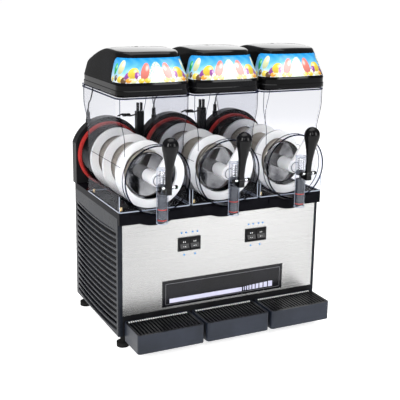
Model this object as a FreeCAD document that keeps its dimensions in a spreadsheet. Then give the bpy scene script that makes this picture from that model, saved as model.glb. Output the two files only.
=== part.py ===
import FreeCAD, Part
import math
import os
import re
import Sketcher

# Triple-bowl frozen-drink (granita) machine.
# Frame: +X to the machine's right as the user faces it, +Y to the rear, +Z up.
# Origin: on the floor, at the centre of the machine's footprint.  Lengths are in millimetres.

V = FreeCAD.Vector
os.makedirs("parts", exist_ok=True)
doc = FreeCAD.newDocument("slushie_machine")

# the three bowls, each with its place in the row
STATIONS = (("left", -1), ("centre", 0), ("right", 1))
# loft levels in the eased flare between the trough and the hopper's upright walls
FLARE_STEPS = 6

# ---------------------------------------------------------------- driving dimensions
SIZES = {
    # cabinet; depths below are measured back from front_y, the plane of the front panel
    "front_y": -126.5, "cabinet_width": 600, "cabinet_depth": 345, "cabinet_floor": 34,
    "deck_top": 370, "deck_depth": 17, "deck_front": -10, "lip_bottom": 338, "sheet": 1.5,
    "side_wall": 3, "corner_post": 11.4, "panel_bottom": 90, "plinth_wall": 3,
    "foot_radius": 16.5, "foot_pad": 12, "foot_neck": 7, "foot_inset_x": 19, "foot_inset_y": 20,
    "foot_cone": 6, "foot_taper": 3, "base_sheet": 2, "base_flange": 20, "panel_return": 14,
    "skin_corner": 5, "rear_sheet": 2, "seam": 0.3,
    "bulge_reach": 31, "bulge_depth": 12.7, "bulge_half": 70, "bulge_drop": 15, "bulge_step": 6,
    # side louvres
    "louvre_count": 17, "louvre_pitch": 16, "louvre_gap": 8.5, "louvre_sag": 7,
    "louvre_low": 49, "louvre_start": 14, "louvre_end": 331,
    # rows of vent slots in the back sheet
    "vent_rows": 9, "vent_columns": 3, "vent_pitch": 22, "vent_gap": 9, "vent_low": 130,
    "vent_length": 140, "vent_spacing": 180,
    # bowls: a round trough along Y with a flared hopper above it
    "bowl_pitch": 202.3, "bowl_axis": 451, "trough_radius": 89.3, "bowl_wall": 3,
    "nose_y": -29, "nose_wall": 3.5, "trough_end": 322, "hopper_front": -8, "hopper_rear": 280,
    "waist_half": 86, "hopper_half": 98, "waist_z": 545, "flare_z": 621, "bowl_top": 665,
    "lip_band": 9, "hopper_corner": 22,
    "skirt_half": 97, "skirt_front": -8.5, "skirt_back": 232, "skirt_top": 415,
    "trough_clearance": 4.2, "bush_radius": 14,
    # evaporator drum, auger and drive
    "drum_radius": 60, "drum_wall": 6, "drum_front": 40, "drum_end": 333, "shaft_radius": 8,
    "shaft_fit": 0.06, "blade_tip": 84, "blade_root": 62.5, "blade_thick": 9, "blade_pitch": 97,
    "blade_turns": 3.25, "blade_front": -19, "blade_start": 65, "hub_radius": 17.5,
    "hub_length": 57, "nose_pin": 8.4, "gasket_radius": 92.3, "gasket_bore": 84.8,
    "bulkhead_front": 333, "bulkhead_rear": 363, "bulkhead_wall": 3, "bulkhead_hole": 4,
    "arch_radius": 103, "arch_axis": 453, "lead_y": 347, "socket_offset": -56,
    "gear_half": 38, "gear_low": 50, "gear_high": 40, "gear_gap": 5, "gear_thick": 12,
    "motor_radius": 30, "motor_drop": 18, "motor_length": 11,
    # tap
    "tube_y": -53.4, "tube_radius": 15, "tube_bore": 12.5, "tube_bottom": 347, "tube_top": 487,
    "pivot_y": -89, "pivot_z": 447, "pin_radius": 3, "ear_inner": 8.5, "ear_outer": 12.5,
    "ear_radius": 10, "piston_radius": 12.1, "plug_bottom": 352, "plug_top": 424,
    "collar_bottom": 436, "collar_top": 446, "spring_radius": 8.5, "spring_wire": 1.1,
    "lever_tilt": 6, "lever_head": 20.5, "lever_length": 127,
    # lid
    "rim_step": 676, "rim_top": 690, "lid_front": -19, "lid_rear": 279, "crown_z": 782,
    "crown_half": 79, "crown_front": 24, "crown_rear": 262, "crown_corner": 42, "lid_wall": 3,
    "lid_corner": 34, "window_low": 696, "window_high": 754, "window_end": 47, "window_corner": 16,
    "roof_front": 768, "roof_ridge": 772, "roof_rear": 718, "ridge_y": 128, "roof_break": 266,
    "rim_out": 0.8, "spigot_gap": 1.2, "spigot_wall": 2.5, "pane_thick": 2.4, "pane_sunk": 0.4,
    # drip trays and grilles
    "tray_width": 184.9, "tray_pitch": 193.3, "tray_front": -101.4, "tray_back": -1.5,
    "tray_bottom": 25.3, "tray_top": 75.7, "tray_wall": 3.6, "tray_ledge": 1.6, "tray_corner": 8,
    "grille_thick": 3.5, "grille_slots": 18, "grille_pitch": 9.6, "grille_gap": 5.4,
    # switches and badge
    "switch_x": 100.7, "switch_z": 265, "bezel_width": 65, "bezel_height": 37.5,
    "rocker_spacing": 30, "rocker_width": 25.2, "rocker_half": 13.5, "rocker_tilt": 8,
    "rocker_depth": 5.5, "rocker_pin": 1.4, "rocker_face": 10.5, "rocker_dish": 8.3,
    "rocker_gap": 0.6, "pin_reach": 1.5, "bezel_proud": 2.5, "bezel_lap": 2, "block_inset": 2.2,
    "block_depth": 24, "well_depth": 14, "well_margin": 1.9,
    "badge_left": -177, "badge_right": 190, "badge_low": 96.5, "badge_high": 169, "badge_thick": 1.8,
    # inside the cabinet
    "compressor_x": 165, "compressor_y": 205, "compressor_radius": 78, "pot_bottom": 48,
    "pot_shoulder": 66, "pot_side": 150, "pot_dome": 186, "pot_top": 196, "stub_top": 203,
    "stub_length": 20, "pipe_radius": 3, "pipe_clearance": 1.5, "riser_offset": 46, "riser_y": 339.5,
    "header_z": 328, "discharge_z": 334, "discharge_offset": 30, "suction_offset": 20,
    "coil_x": -271, "coil_half": 17, "coil_reach": 132, "coil_low": 52, "coil_high": 312,
    "coil_plate": 2, "coil_margin": 4, "bend_pitch": 42, "bend_first": 77,
    "fan_y": 172, "fan_z": 182, "fan_radius": 112, "shroud_half": 130, "shroud_front": -251,
    "shroud_back": -206, "arm_half": 9, "arm_thick": 5, "can_radius": 36, "can_length": 55,
    "rotor_face": -238, "rotor_hub": 30, "rotor_depth": 26, "spindle_tip": -228, "spindle": 4,
    "gland_x": 220, "gland_z": 82, "gland_radius": 11, "gland_bore": 4.5,
}

sheet = doc.addObject("Spreadsheet::Sheet", "Sizes")
for row, (alias, size) in enumerate(SIZES.items(), start=1):
    sheet.set(f"A{row}", alias)
    sheet.set(f"B{row}", str(size))
    sheet.setAlias(f"B{row}", alias)
doc.recompute()

WORD = re.compile(r"[a-z][a-z_]*[a-z]")


def linked(text):
    """Turn a formula in sheet words into an expression on the spreadsheet."""
    return WORD.sub(lambda m: "Sizes." + m.group(0) if m.group(0) in SIZES else m.group(0), str(text))


def value(text):
    return float(sheet.evalExpression(linked(text)))


def bind(obj, prop, text):
    obj.setExpression(prop, linked(text))


def place(obj, at):
    for axis, text in zip("xyz", at):
        bind(obj, f".Placement.Base.{axis}", text)
    return obj


def deep(text):
    """A depth behind the front panel's plane, as a Y position."""
    return f"front_y + ({text})"


# ---------------------------------------------------------------- primitives
def box(name, x, y, z):
    """A box between the limits x = (low, high), y and z; y counts back from the front panel."""
    obj = doc.addObject("Part::Box", name)
    for prop, (low, high) in zip(("Length", "Width", "Height"), (x, y, z)):
        bind(obj, prop, f"({high}) - ({low})")
    return place(obj, (x[0], deep(y[0]), z[0]))


def rod(name, radius, length, at, axis="z"):
    """A cylinder along one axis, starting at a point; y counts back from the front panel."""
    obj = doc.addObject("Part::Cylinder", name)
    turns = {"x": (V(0, 1, 0), 90), "y": (V(1, 0, 0), -90), "z": (V(0, 0, 1), 0)}
    obj.Placement = FreeCAD.Placement(V(), FreeCAD.Rotation(*turns[axis]))
    bind(obj, "Radius", radius)
    bind(obj, "Height", length)
    return place(obj, (at[0], deep(at[1]), at[2]))


def fuse(name, shapes):
    obj = doc.addObject("Part::MultiFuse", name)
    obj.Shapes = shapes
    obj.Refine = True
    return obj


def cut(name, base, tools):
    obj = doc.addObject("Part::Cut", name)
    obj.Base = base
    obj.Tool = tools[0] if len(tools) == 1 else fuse(name + "_tools", tools)
    obj.Refine = True
    return obj


def common(name, first, second):
    obj = doc.addObject("Part::Common", name)
    obj.Base = first
    obj.Tool = second
    return obj


def group(name, shapes):
    obj = doc.addObject("Part::Compound", name)
    obj.Links = shapes
    return obj


# ---------------------------------------------------------------- sketches and bodies
def arc(start, end, radius):
    """The minor arc from start to end; a positive radius bulges to the right of travel."""
    middle = (start + end) * 0.5
    chord = end - start
    side = V(chord.y, -chord.x, 0).normalize() * math.copysign(1, radius)
    half = chord.Length / 2
    sagitta = abs(radius) - math.sqrt(radius * radius - half * half)
    apex = middle + side * sagitta
    return Part.Arc(start, apex, end) if radius > 0 else Part.Arc(end, apex, start)


def outline(sketch, corners, arcs=None):
    """Close a loop through corners (pairs of formulas); arcs maps a side's index to its radius."""
    arcs = arcs or {}
    first = sketch.GeometryCount
    count = len(corners)
    points = [V(value(x), value(y), 0) for x, y in corners]
    for i in range(count):
        start, end = points[i], points[(i + 1) % count]
        if i in arcs:
            sketch.addGeometry(arc(start, end, value(arcs[i])), False)
        else:
            sketch.addGeometry(Part.LineSegment(start, end), False)
    # a sketched arc always runs anticlockwise, so one that bulges left starts at the next corner
    ends = [(2, 1) if i in arcs and value(arcs[i]) < 0 else (1, 2) for i in range(count)]
    for i in range(count):
        following = (i + 1) % count
        sketch.addConstraint(Sketcher.Constraint(
            "Coincident", first + i, ends[i][1], first + following, ends[following][0]))
    for i, (x, y) in enumerate(corners):
        for kind, text, size in (("DistanceX", x, points[i].x), ("DistanceY", y, points[i].y)):
            index = sketch.addConstraint(Sketcher.Constraint(
                kind, -1, 1, first + i, ends[i][0], size))
            bind(sketch, f"Constraints[{index}]", text)
    for i, radius in arcs.items():
        index = sketch.addConstraint(Sketcher.Constraint("Radius", first + i, abs(value(radius))))
        bind(sketch, f"Constraints[{index}]", f"abs({radius})")


def circle(sketch, x, y, radius):
    index = sketch.addGeometry(Part.Circle(V(value(x), value(y), 0), V(0, 0, 1), value(radius)), False)
    for kind, text in (("DistanceX", x), ("DistanceY", y)):
        number = sketch.addConstraint(Sketcher.Constraint(kind, -1, 1, index, 3, value(text)))
        bind(sketch, f"Constraints[{number}]", text)
    number = sketch.addConstraint(Sketcher.Constraint("Radius", index, value(radius)))
    bind(sketch, f"Constraints[{number}]", radius)


def rectangle(sketch, x, y):
    outline(sketch, [(x[0], y[0]), (x[1], y[0]), (x[1], y[1]), (x[0], y[1])])


def rounded(sketch, x, y, radius):
    """A rectangle x = (low, high), y = (low, high) with round corners."""
    west, east = f"{x[0]} + {radius}", f"{x[1]} - {radius}"
    south, north = f"{y[0]} + {radius}", f"{y[1]} - {radius}"
    corners = [(west, y[0]), (east, y[0]), (x[1], south), (x[1], north),
               (east, y[1]), (west, y[1]), (x[0], north), (x[0], south)]
    outline(sketch, corners, {1: radius, 3: radius, 5: radius, 7: radius})


def new_body(name):
    return doc.addObject("PartDesign::Body", name)


def sketch_on(body, name, plane, offset="0"):
    """A sketch on one of the body's origin planes, moved along the plane's normal."""
    sketch = body.newObject("Sketcher::SketchObject", name)
    support = [o for o in body.Origin.OriginFeatures if o.Role == plane][0]
    sketch.AttachmentSupport = (support, [""])
    sketch.MapMode = "FlatFace"
    bind(sketch, ".AttachmentOffset.Base.z", offset)
    return sketch


def pad(body, sketch, length, backwards=False):
    feature = body.newObject("PartDesign::Pad", sketch.Name + "_pad")
    feature.Profile = sketch
    bind(feature, "Length", length)
    feature.Reversed = backwards
    return feature


def pocket(body, sketch, length, backwards=False):
    feature = body.newObject("PartDesign::Pocket", sketch.Name + "_pocket")
    feature.Profile = sketch
    bind(feature, "Length", length)
    feature.Reversed = backwards
    return feature


def repeat(body, feature, axis, length, count):
    """A linear pattern of one feature along a body axis."""
    pattern = body.newObject("PartDesign::LinearPattern", feature.Name + "_row")
    pattern.Originals = [feature]
    line = [o for o in body.Origin.OriginFeatures if o.Role == axis][0]
    pattern.Direction = (line, [""])
    bind(pattern, "Length", length)
    bind(pattern, "Occurrences", count)
    body.Tip = pattern
    return pattern


def free_sketch(name, z="0"):
    sketch = doc.addObject("Sketcher::SketchObject", name)
    bind(sketch, ".Placement.Base.z", z)
    return sketch


def loft(name, sections, ruled=True):
    obj = doc.addObject("Part::Loft", name)
    obj.Sections = sections
    obj.Solid = True
    obj.Ruled = ruled
    return obj


def extrude(name, sketch, direction, length):
    obj = doc.addObject("Part::Extrusion", name)
    obj.Base = sketch
    obj.DirMode = "Custom"
    obj.Dir = direction
    bind(obj, "LengthFwd", length)
    obj.Solid = True
    return obj


NODES = {}


def node(name, obj):
    """Name a finished sub-part."""
    obj.Label = name
    NODES[name] = obj
    return obj


# ---------------------------------------------------------------- tubes that follow a route
def pipe(name, points, radius, bend):
    """A round tube along straight runs joined by tangent arcs; y counts back from the front panel."""
    corners = [V(value(x), value(deep(y)), value(z)) for x, y, z in points]
    edges = []
    here = corners[0]
    for before, corner, after in zip(corners, corners[1:], corners[2:]):
        inward = (corner - before).normalize()
        outward = (after - corner).normalize()
        turn = inward.getAngle(outward)
        reach = bend * math.tan(turn / 2)
        start = corner - inward * reach
        end = corner + outward * reach
        towards_centre = (outward - inward).normalize()
        middle = corner + towards_centre * (reach / math.sin(turn / 2) - bend) if turn > 1e-6 else corner
        edges.append(Part.LineSegment(here, start).toShape())
        edges.append(Part.Arc(start, middle, end).toShape())
        here = end
    edges.append(Part.LineSegment(here, corners[-1]).toShape())
    wire = Part.Wire(edges)
    ring = Part.Wire(Part.makeCircle(radius, corners[0], corners[1] - corners[0]))
    obj = doc.addObject("Part::Feature", name)
    obj.Shape = wire.makePipeShell([ring], True, False)
    return obj


# ================================================================ the cabinet
half_width = "cabinet_width / 2"
post_inner = "cabinet_width / 2 - corner_post"
inside_half = "cabinet_width / 2 - side_wall"


def levelling_feet():
    feet = []
    for i, side in enumerate(("-1", "1")):
        x = f"{side} * (cabinet_width / 2 - foot_inset_x)"
        for j, y in enumerate(("foot_inset_y", "cabinet_depth - foot_inset_y")):
            tag = f"foot_{i}{j}"
            rubber = rod(tag + "_pad", "foot_radius", "foot_pad", (x, y, "0"))
            neck = doc.addObject("Part::Cone", tag + "_neck")
            bind(neck, "Radius1", "foot_radius - foot_taper")
            bind(neck, "Radius2", "foot_neck")
            bind(neck, "Height", "foot_cone")
            place(neck, (x, deep(y), "foot_pad"))
            stem = rod(tag + "_stem", "foot_neck", "cabinet_floor - foot_pad - foot_cone",
                       (x, y, "foot_pad + foot_cone"))
            feet.append(fuse(tag, [rubber, neck, stem]))
    node("levelling_feet", group("feet", feet))


def chassis_base():
    back = "cabinet_depth"
    low = "cabinet_floor"
    rise = (low, f"{low} + base_flange")
    x = (f"-({inside_half})", inside_half)
    plates = [
        box("floor_plate", x, ("plinth_wall", back), (low, f"{low} + base_sheet")),
        box("plinth_face", (f"-({post_inner})", post_inner), ("0", "plinth_wall"), (low, "panel_bottom")),
        box("left_flange", (x[0], f"{x[0]} + base_sheet"), ("side_wall", back), rise),
        box("right_flange", (f"{x[1]} - base_sheet", x[1]), ("side_wall", back), rise),
        box("rear_flange", x, (f"{back} - base_sheet", back), rise),
    ]
    node("chassis_base", fuse("chassis", plates))


def front_panel():
    body = new_body("front_sheet")
    face = sketch_on(body, "front_face", "XZ_Plane", "-front_y")
    x = (f"-({post_inner})", post_inner)
    rectangle(face, x, ("panel_bottom", "lip_bottom"))
    pad(body, face, "sheet", True)
    returns = (("left_return", x[0], f"{x[0]} + sheet"), ("right_return", f"{x[1]} - sheet", x[1]))
    for name, low, high in returns:
        side = sketch_on(body, name, "XZ_Plane", "-front_y")
        rectangle(side, (low, high), ("panel_bottom", "lip_bottom"))
        pad(body, side, "panel_return", True)
    holes = sketch_on(body, "switch_holes", "XZ_Plane", "-front_y")
    hole_half = ("(bezel_width / 2 - bezel_lap)", "(bezel_height / 2 - bezel_lap)")
    for side in ("-1", "1"):
        middle = f"{side} * switch_x"
        rectangle(holes, (f"{middle} - {hole_half[0]}", f"{middle} + {hole_half[0]}"),
                  (f"switch_z - {hole_half[1]}", f"switch_z + {hole_half[1]}"))
    pocket(body, holes, "sheet + 1", False)
    node("front_panel", body)


def side_panel(name, side):
    """A side skin that wraps round the front corner, with bowed louvre slots."""
    outer, inner, post = (f"{side} * ({t})" for t in (half_width, inside_half, post_inner))
    front, wall, back = deep("0"), deep("side_wall"), deep("cabinet_depth")
    body = new_body(name + "_skin")
    plan = sketch_on(body, name + "_plan", "XY_Plane", "cabinet_floor")
    corners = [(f"{outer} - {side} * skin_corner", front), (post, front), (post, wall), (inner, wall),
               (inner, back), (outer, back), (outer, f"{front} + skin_corner")]
    outline(plan, corners, {6: "-skin_corner" if side == "1" else "skin_corner"})
    pad(body, plan, "deck_top - deck_depth - cabinet_floor")
    slot = sketch_on(body, name + "_slot", "YZ_Plane", f"{outer} - {side} * 4")
    ends = (deep("louvre_start"), deep("louvre_end"))
    bow = "-((louvre_end - louvre_start) ^ 2 / 4 + louvre_sag ^ 2) / (2 * louvre_sag)"
    outline(slot, [(ends[0], "louvre_low"), (ends[1], "louvre_low"),
                   (ends[1], "louvre_low + louvre_gap"), (ends[0], "louvre_low + louvre_gap")],
            {0: f"-({bow})", 2: bow})
    gap = pocket(body, slot, "8", side == "1")
    repeat(body, gap, "Z_Axis", "louvre_pitch * (louvre_count - 1)", "louvre_count")
    node(name + "_side_panel", body)


def top_deck():
    """The moulded top, with a round channel under each bowl and a lip over the front panel."""
    x = (f"-({half_width})", half_width)
    solids = [
        box("deck_slab", x, ("deck_front", "cabinet_depth"), ("deck_top - deck_depth", "deck_top")),
        box("deck_lip", x, ("deck_front", "-seam"), ("lip_bottom", "deck_top")),
    ]
    channels = []
    for tag, i in STATIONS:
        centre = f"{i} * bowl_pitch"
        bulge = rod(f"bulge_disc_{tag}", "trough_radius + bulge_reach", "bulge_depth",
                    (centre, "deck_front - 3", "bowl_axis"), "y")
        band = box(f"bulge_band_{tag}", (f"{centre} - bulge_half", f"{centre} + bulge_half"),
                   ("deck_front - 4", "0"), ("lip_bottom - bulge_drop", "deck_top - bulge_step"))
        solids.append(common(f"bulge_{tag}", bulge, band))
        channels.append(rod(f"channel_{tag}", "trough_radius + trough_clearance",
                            "bulkhead_front - deck_front + 10",
                            (centre, "deck_front - 10", "bowl_axis"), "y"))
        channels.append(rod(f"riser_hole_{tag}", "pipe_radius + pipe_clearance", "deck_depth + 2",
                            (f"{centre} + riser_offset", "riser_y", "deck_top - deck_depth - 1")))
    node("top_deck", cut("deck", fuse("deck_solid", solids), channels))


def arches(name, front, rear, inset):
    """Three round-topped bays side by side, as one slab between two depths."""
    low = f"deck_top + {inset}"
    reach = f"arch_radius - {inset}"
    limit = f"cabinet_width / 2 - {inset}"
    solids = [box(name + "_base", (f"-({limit})", limit), (front, rear), (low, "arch_axis"))]
    for tag, i in STATIONS:
        solids.append(rod(f"{name}_{tag}", reach, f"({rear}) - ({front})",
                          (f"{i} * bowl_pitch", front, "arch_axis"), "y"))
    keep = box(name + "_keep", (f"-({limit})", limit), (front, rear),
               (low, "arch_axis + arch_radius + 1"))
    return common(name, fuse(name + "_sum", solids), keep)


def rear_bulkhead():
    outside = arches("bulkhead_outside", "bulkhead_front", "bulkhead_rear", "0")
    tools = [arches("bulkhead_inside", "bulkhead_front + bulkhead_wall", "bulkhead_rear + 1",
                    "bulkhead_wall")]
    through = "bulkhead_wall + 2"
    for tag, i in STATIONS:
        centre = f"{i} * bowl_pitch"
        riser = f"{centre} + riser_offset"
        tools.append(rod(f"shaft_hole_{tag}", "shaft_radius + bulkhead_hole", through,
                         (centre, "bulkhead_front - 1", "bowl_axis"), "y"))
        tools.append(rod(f"feed_hole_{tag}", "pipe_radius + bulkhead_hole", through,
                         (riser, "bulkhead_front - 1", "bowl_axis"), "y"))
        tools.append(rod(f"floor_hole_{tag}", "pipe_radius + pipe_clearance", through,
                         (riser, "riser_y", "deck_top - 1")))
    node("rear_bulkhead", cut("bulkhead", outside, tools))


def rear_panel():
    """One pressed sheet: the cabinet's back, a step out under the bays and the bays' cover."""
    back = "cabinet_depth"
    x = (f"-({half_width})", half_width)
    rear = ("bulkhead_rear", "bulkhead_rear + rear_sheet")
    under_deck = "deck_top - seam"
    lower = box("back_sheet", x, (back, f"{back} + rear_sheet"), ("cabinet_floor", under_deck))
    step = box("back_step", x, (f"{back} + rear_sheet", rear[1]), (f"{under_deck} - rear_sheet", under_deck))
    rise = box("back_rise", x, rear, (f"{under_deck} - rear_sheet", "deck_top + 2"))
    cover = arches("back_cover", *rear, "0")
    tools = []
    columns = int(value("vent_columns"))
    for column in range(columns):
        for row in range(int(value("vent_rows"))):
            left = f"({column} - {(columns - 1) / 2}) * vent_spacing - vent_length / 2"
            low = f"vent_low + {row} * vent_pitch"
            tools.append(box(f"vent_{column}{row}", (left, f"{left} + vent_length"),
                             (f"{back} - 1", f"{back} + rear_sheet + 1"), (low, f"{low} + vent_gap")))
    tools.append(rod("gland_hole", "gland_radius - 3", "4", ("gland_x", f"{back} - 1", "gland_z"), "y"))
    node("rear_panel", cut("back", fuse("back_whole", [lower, step, rise, cover]), tools))


def badge_plate():
    node("badge_plate", box("badge", ("badge_left", "badge_right"), ("-badge_thick", "0"),
                            ("badge_low", "badge_high")))


def switches():
    """Two bezels, each with a pair of rockers that tilt about a horizontal pin."""
    housings = []
    block_half = ("(bezel_width / 2 - block_inset)", "(bezel_height / 2 - block_inset)")
    well_half = ("(rocker_width / 2 + rocker_gap)", "(rocker_half + well_margin)")
    seat_half = "(rocker_width / 2 + pin_reach + 0.1)"
    for side, tag in (("-1", "left"), ("1", "right")):
        middle = f"{side} * switch_x"
        bezel = box(f"bezel_{tag}", (f"{middle} - bezel_width / 2", f"{middle} + bezel_width / 2"),
                    ("-bezel_proud", "0"), ("switch_z - bezel_height / 2", "switch_z + bezel_height / 2"))
        block = box(f"switch_block_{tag}", (f"{middle} - {block_half[0]}", f"{middle} + {block_half[0]}"),
                    ("0", "block_depth"), (f"switch_z - {block_half[1]}", f"switch_z + {block_half[1]}"))
        wells = []
        for number, offset in ((1, "-rocker_spacing / 2"), (2, "rocker_spacing / 2")):
            centre = f"{middle} + {offset}"
            wells.append(box(f"well_{tag}_{number}",
                             (f"{centre} - {well_half[0]}", f"{centre} + {well_half[0]}"),
                             ("-bezel_proud - 0.5", "well_depth"),
                             (f"switch_z - {well_half[1]}", f"switch_z + {well_half[1]}")))
            wells.append(rod(f"pin_seat_{tag}_{number}", "rocker_pin + shaft_fit", f"2 * {seat_half}",
                             (f"{centre} - {seat_half}", "rocker_depth", "switch_z"), "x"))
            rocker(f"rocker_{tag}_{number}", centre)
        housings.append(cut(f"housing_{tag}", fuse(f"housing_solid_{tag}", [bezel, block]), wells))
    node("switch_housings", group("housings", housings))


def rocker(name, centre):
    """A rocker key with a dished face, a keel behind its pin and the pin itself."""
    body = new_body(name + "_key")
    profile = sketch_on(body, name + "_profile", "YZ_Plane", "-rocker_width / 2")
    outline(profile, [("-rocker_face", "rocker_half"), ("-rocker_face", "0 - rocker_half"),
                      ("0", "3 - rocker_half"), ("3", "0"), ("0", "rocker_half - 3")])
    face = sketch_on(body, name + "_dip", "YZ_Plane", "-rocker_width / 2")
    pad(body, profile, "rocker_width")
    outline(face, [("-rocker_face - 0.1", "rocker_half - 1"), ("-rocker_face - 0.1", "1 - rocker_half"),
                   ("-rocker_dish", "0")])
    pocket(body, face, "rocker_width", True)
    body.Placement = FreeCAD.Placement(V(), FreeCAD.Rotation(V(1, 0, 0), -value("rocker_tilt")))
    place(body, (centre, deep("rocker_depth"), "switch_z"))
    pin = rod(name + "_pin", "rocker_pin", "rocker_width + 2 * pin_reach",
              (f"{centre} - rocker_width / 2 - pin_reach", "rocker_depth", "switch_z"), "x")
    node(name, fuse(name + "_whole", [body, pin]))


# ================================================================ machinery inside the cabinet
def compressor():
    body = new_body("compressor_pot")
    half = sketch_on(body, "pot_profile", "XZ_Plane")
    outline(half, [("0", "pot_bottom"), ("compressor_radius + pot_bottom - pot_shoulder", "pot_bottom"),
                   ("compressor_radius", "pot_shoulder"), ("compressor_radius", "pot_side"),
                   ("compressor_radius - 30", "pot_dome"), ("12", "pot_top"), ("0", "pot_top")],
            {1: "pot_shoulder - pot_bottom", 3: "42", 4: "250"})
    turn = body.newObject("PartDesign::Revolution", "pot_turn")
    turn.Profile = half
    turn.ReferenceAxis = (half, ["V_Axis"])
    turn.Angle = 360
    place(body, ("compressor_x", deep("compressor_y"), "0"))
    plate = box("pot_plate", ("compressor_x - 95", "compressor_x + 95"),
                ("compressor_y - 75", "compressor_y + 75"), ("pot_bottom - 4", "pot_bottom + 2"))
    mounts = []
    for i, dx in enumerate(("-80", "80")):
        for j, dy in enumerate(("-60", "60")):
            mounts.append(rod(f"pot_mount_{i}{j}", "11", "8",
                              (f"compressor_x + {dx}", f"compressor_y + {dy}", "cabinet_floor + base_sheet")))
    terminal = box("pot_terminal", ("compressor_x - 20", "compressor_x + 20"),
                   ("compressor_y - compressor_radius - 16", "compressor_y - 40"), ("100", "140"))
    stubs = [rod(f"pot_stub_{i}", "pipe_radius + pipe_clearance", "stub_length",
                 (x, y, "stub_top - stub_length"))
             for i, (x, y) in enumerate((("compressor_x", "compressor_y + suction_offset"),
                                         ("compressor_x - discharge_offset", "compressor_y")))]
    node("compressor", fuse("pot", [body, plate, terminal] + mounts + stubs))


def condenser():
    """A finned coil behind the left louvres: fin block, end plates and return bends."""
    block = box("fin_block", ("coil_x - coil_half", "coil_x + coil_half"),
                ("fan_y - coil_reach", "fan_y + coil_reach"), ("coil_low", "coil_high"))
    plates = [box(f"coil_plate_{i}", ("coil_x - coil_half - coil_plate", "coil_x + coil_half + coil_plate"),
                  (y, f"{y} + coil_plate"), ("coil_low - coil_margin", "coil_high + coil_margin"))
              for i, y in enumerate(("fan_y - coil_reach - coil_plate", "fan_y + coil_reach"))]
    bends = []
    for i in range(6):
        ring = doc.addObject("Part::Torus", f"bend_{i}")
        ring.Radius1 = 10
        ring.Radius2 = 4
        ring.Placement = FreeCAD.Placement(V(), FreeCAD.Rotation(V(0, 1, 0), 90))
        bends.append(place(ring, ("coil_x", deep("fan_y - coil_reach - coil_plate"),
                                  f"bend_first + {i} * bend_pitch")))
    node("condenser", fuse("coil", [block] + plates + bends))


def fan():
    """An axial fan in a square shroud; the motor sits on four arms behind the rotor."""
    span = ("fan_y - shroud_half", "fan_y + shroud_half")
    rise = ("fan_z - shroud_half", "fan_z + shroud_half")
    arm_x = ("shroud_back", "shroud_back + arm_thick")
    frame = box("shroud_frame", ("shroud_front", "shroud_back"), span, rise)
    throat = rod("shroud_throat", "fan_radius + 6", "60", ("-260", "fan_y", "fan_z"), "x")
    arms = [box("arm_flat", arm_x, span, ("fan_z - arm_half", "fan_z + arm_half")),
            box("arm_tall", arm_x, ("fan_y - arm_half", "fan_y + arm_half"), rise)]
    can = rod("motor_can", "can_radius", "can_length", ("shroud_back", "fan_y", "fan_z"), "x")
    spindle = rod("motor_spindle", "spindle", "shroud_back - spindle_tip",
                  ("spindle_tip", "fan_y", "fan_z"), "x")
    node("fan_shroud", fuse("shroud", [cut("shroud_ring", frame, [throat]), can, spindle] + arms))
    hub = rod("rotor_boss", "rotor_hub", "rotor_depth", ("rotor_face", "fan_y", "fan_z"), "x")
    blades = []
    for i in range(5):
        blade = doc.addObject("Part::Box", f"rotor_blade_{i}")
        blade.Length = 2
        bind(blade, "Width", "52")
        bind(blade, "Height", "fan_radius - 22")
        centre_blade = FreeCAD.Placement(V(-1, -26, 22), FreeCAD.Rotation())
        pitch = FreeCAD.Placement(V(), FreeCAD.Rotation(V(0, 0, 1), 62))
        round_hub = FreeCAD.Placement(V(-225, value(deep("fan_y")), value("fan_z")),
                                      FreeCAD.Rotation(V(1, 0, 0), 72 * i))
        blade.Placement = round_hub.multiply(pitch).multiply(centre_blade)
        blades.append(blade)
    bore = rod("rotor_bore", "spindle + shaft_fit", "rotor_face + rotor_depth - spindle_tip",
               ("spindle_tip", "fan_y", "fan_z"), "x")
    slim = box("rotor_envelope", ("shroud_front + 1", "shroud_back - 3"), span, rise)
    trimmed = common("rotor_trimmed", fuse("rotor_solid", [hub] + blades), slim)
    node("fan_rotor", cut("rotor", trimmed, [bore]))


def refrigerant_lines():
    """Suction header with a riser into each drum, and the discharge line to the condenser."""
    bend = 9
    runs = []
    for tag, i in STATIONS:
        x = f"{i} * bowl_pitch + riser_offset"
        runs.append(pipe(f"riser_{tag}", [(x, "riser_y", "header_z"), (x, "riser_y", "bowl_axis"),
                                          (x, "drum_end - 6", "bowl_axis")], value("pipe_radius"), bend))
    left, right = "-bowl_pitch + riser_offset", "bowl_pitch + riser_offset"
    runs.append(rod("suction_header", "pipe_radius + 1", f"({right}) - ({left}) + 12",
                    (f"{left} - 6", "riser_y", "header_z"), "x"))
    suction_y = "compressor_y + suction_offset"
    runs.append(pipe("suction_line", [("compressor_x", "riser_y", "header_z"),
                                      ("compressor_x", suction_y, "header_z"),
                                      ("compressor_x", suction_y, "stub_top")], value("pipe_radius"), bend))
    discharge_x = "compressor_x - discharge_offset"
    discharge = pipe("discharge_line", [(discharge_x, "compressor_y", "stub_top"),
                                        (discharge_x, "compressor_y", "discharge_z"),
                                        ("coil_x", "compressor_y", "discharge_z"),
                                        ("coil_x", "compressor_y", "coil_high")], value("pipe_radius"), bend)
    node("refrigerant_lines", group("lines", [fuse("suction_side", runs), discharge]))


def control_box():
    node("control_box", box("control_case", ("150", "270"), ("32", "84"), ("236", "330")))


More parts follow.
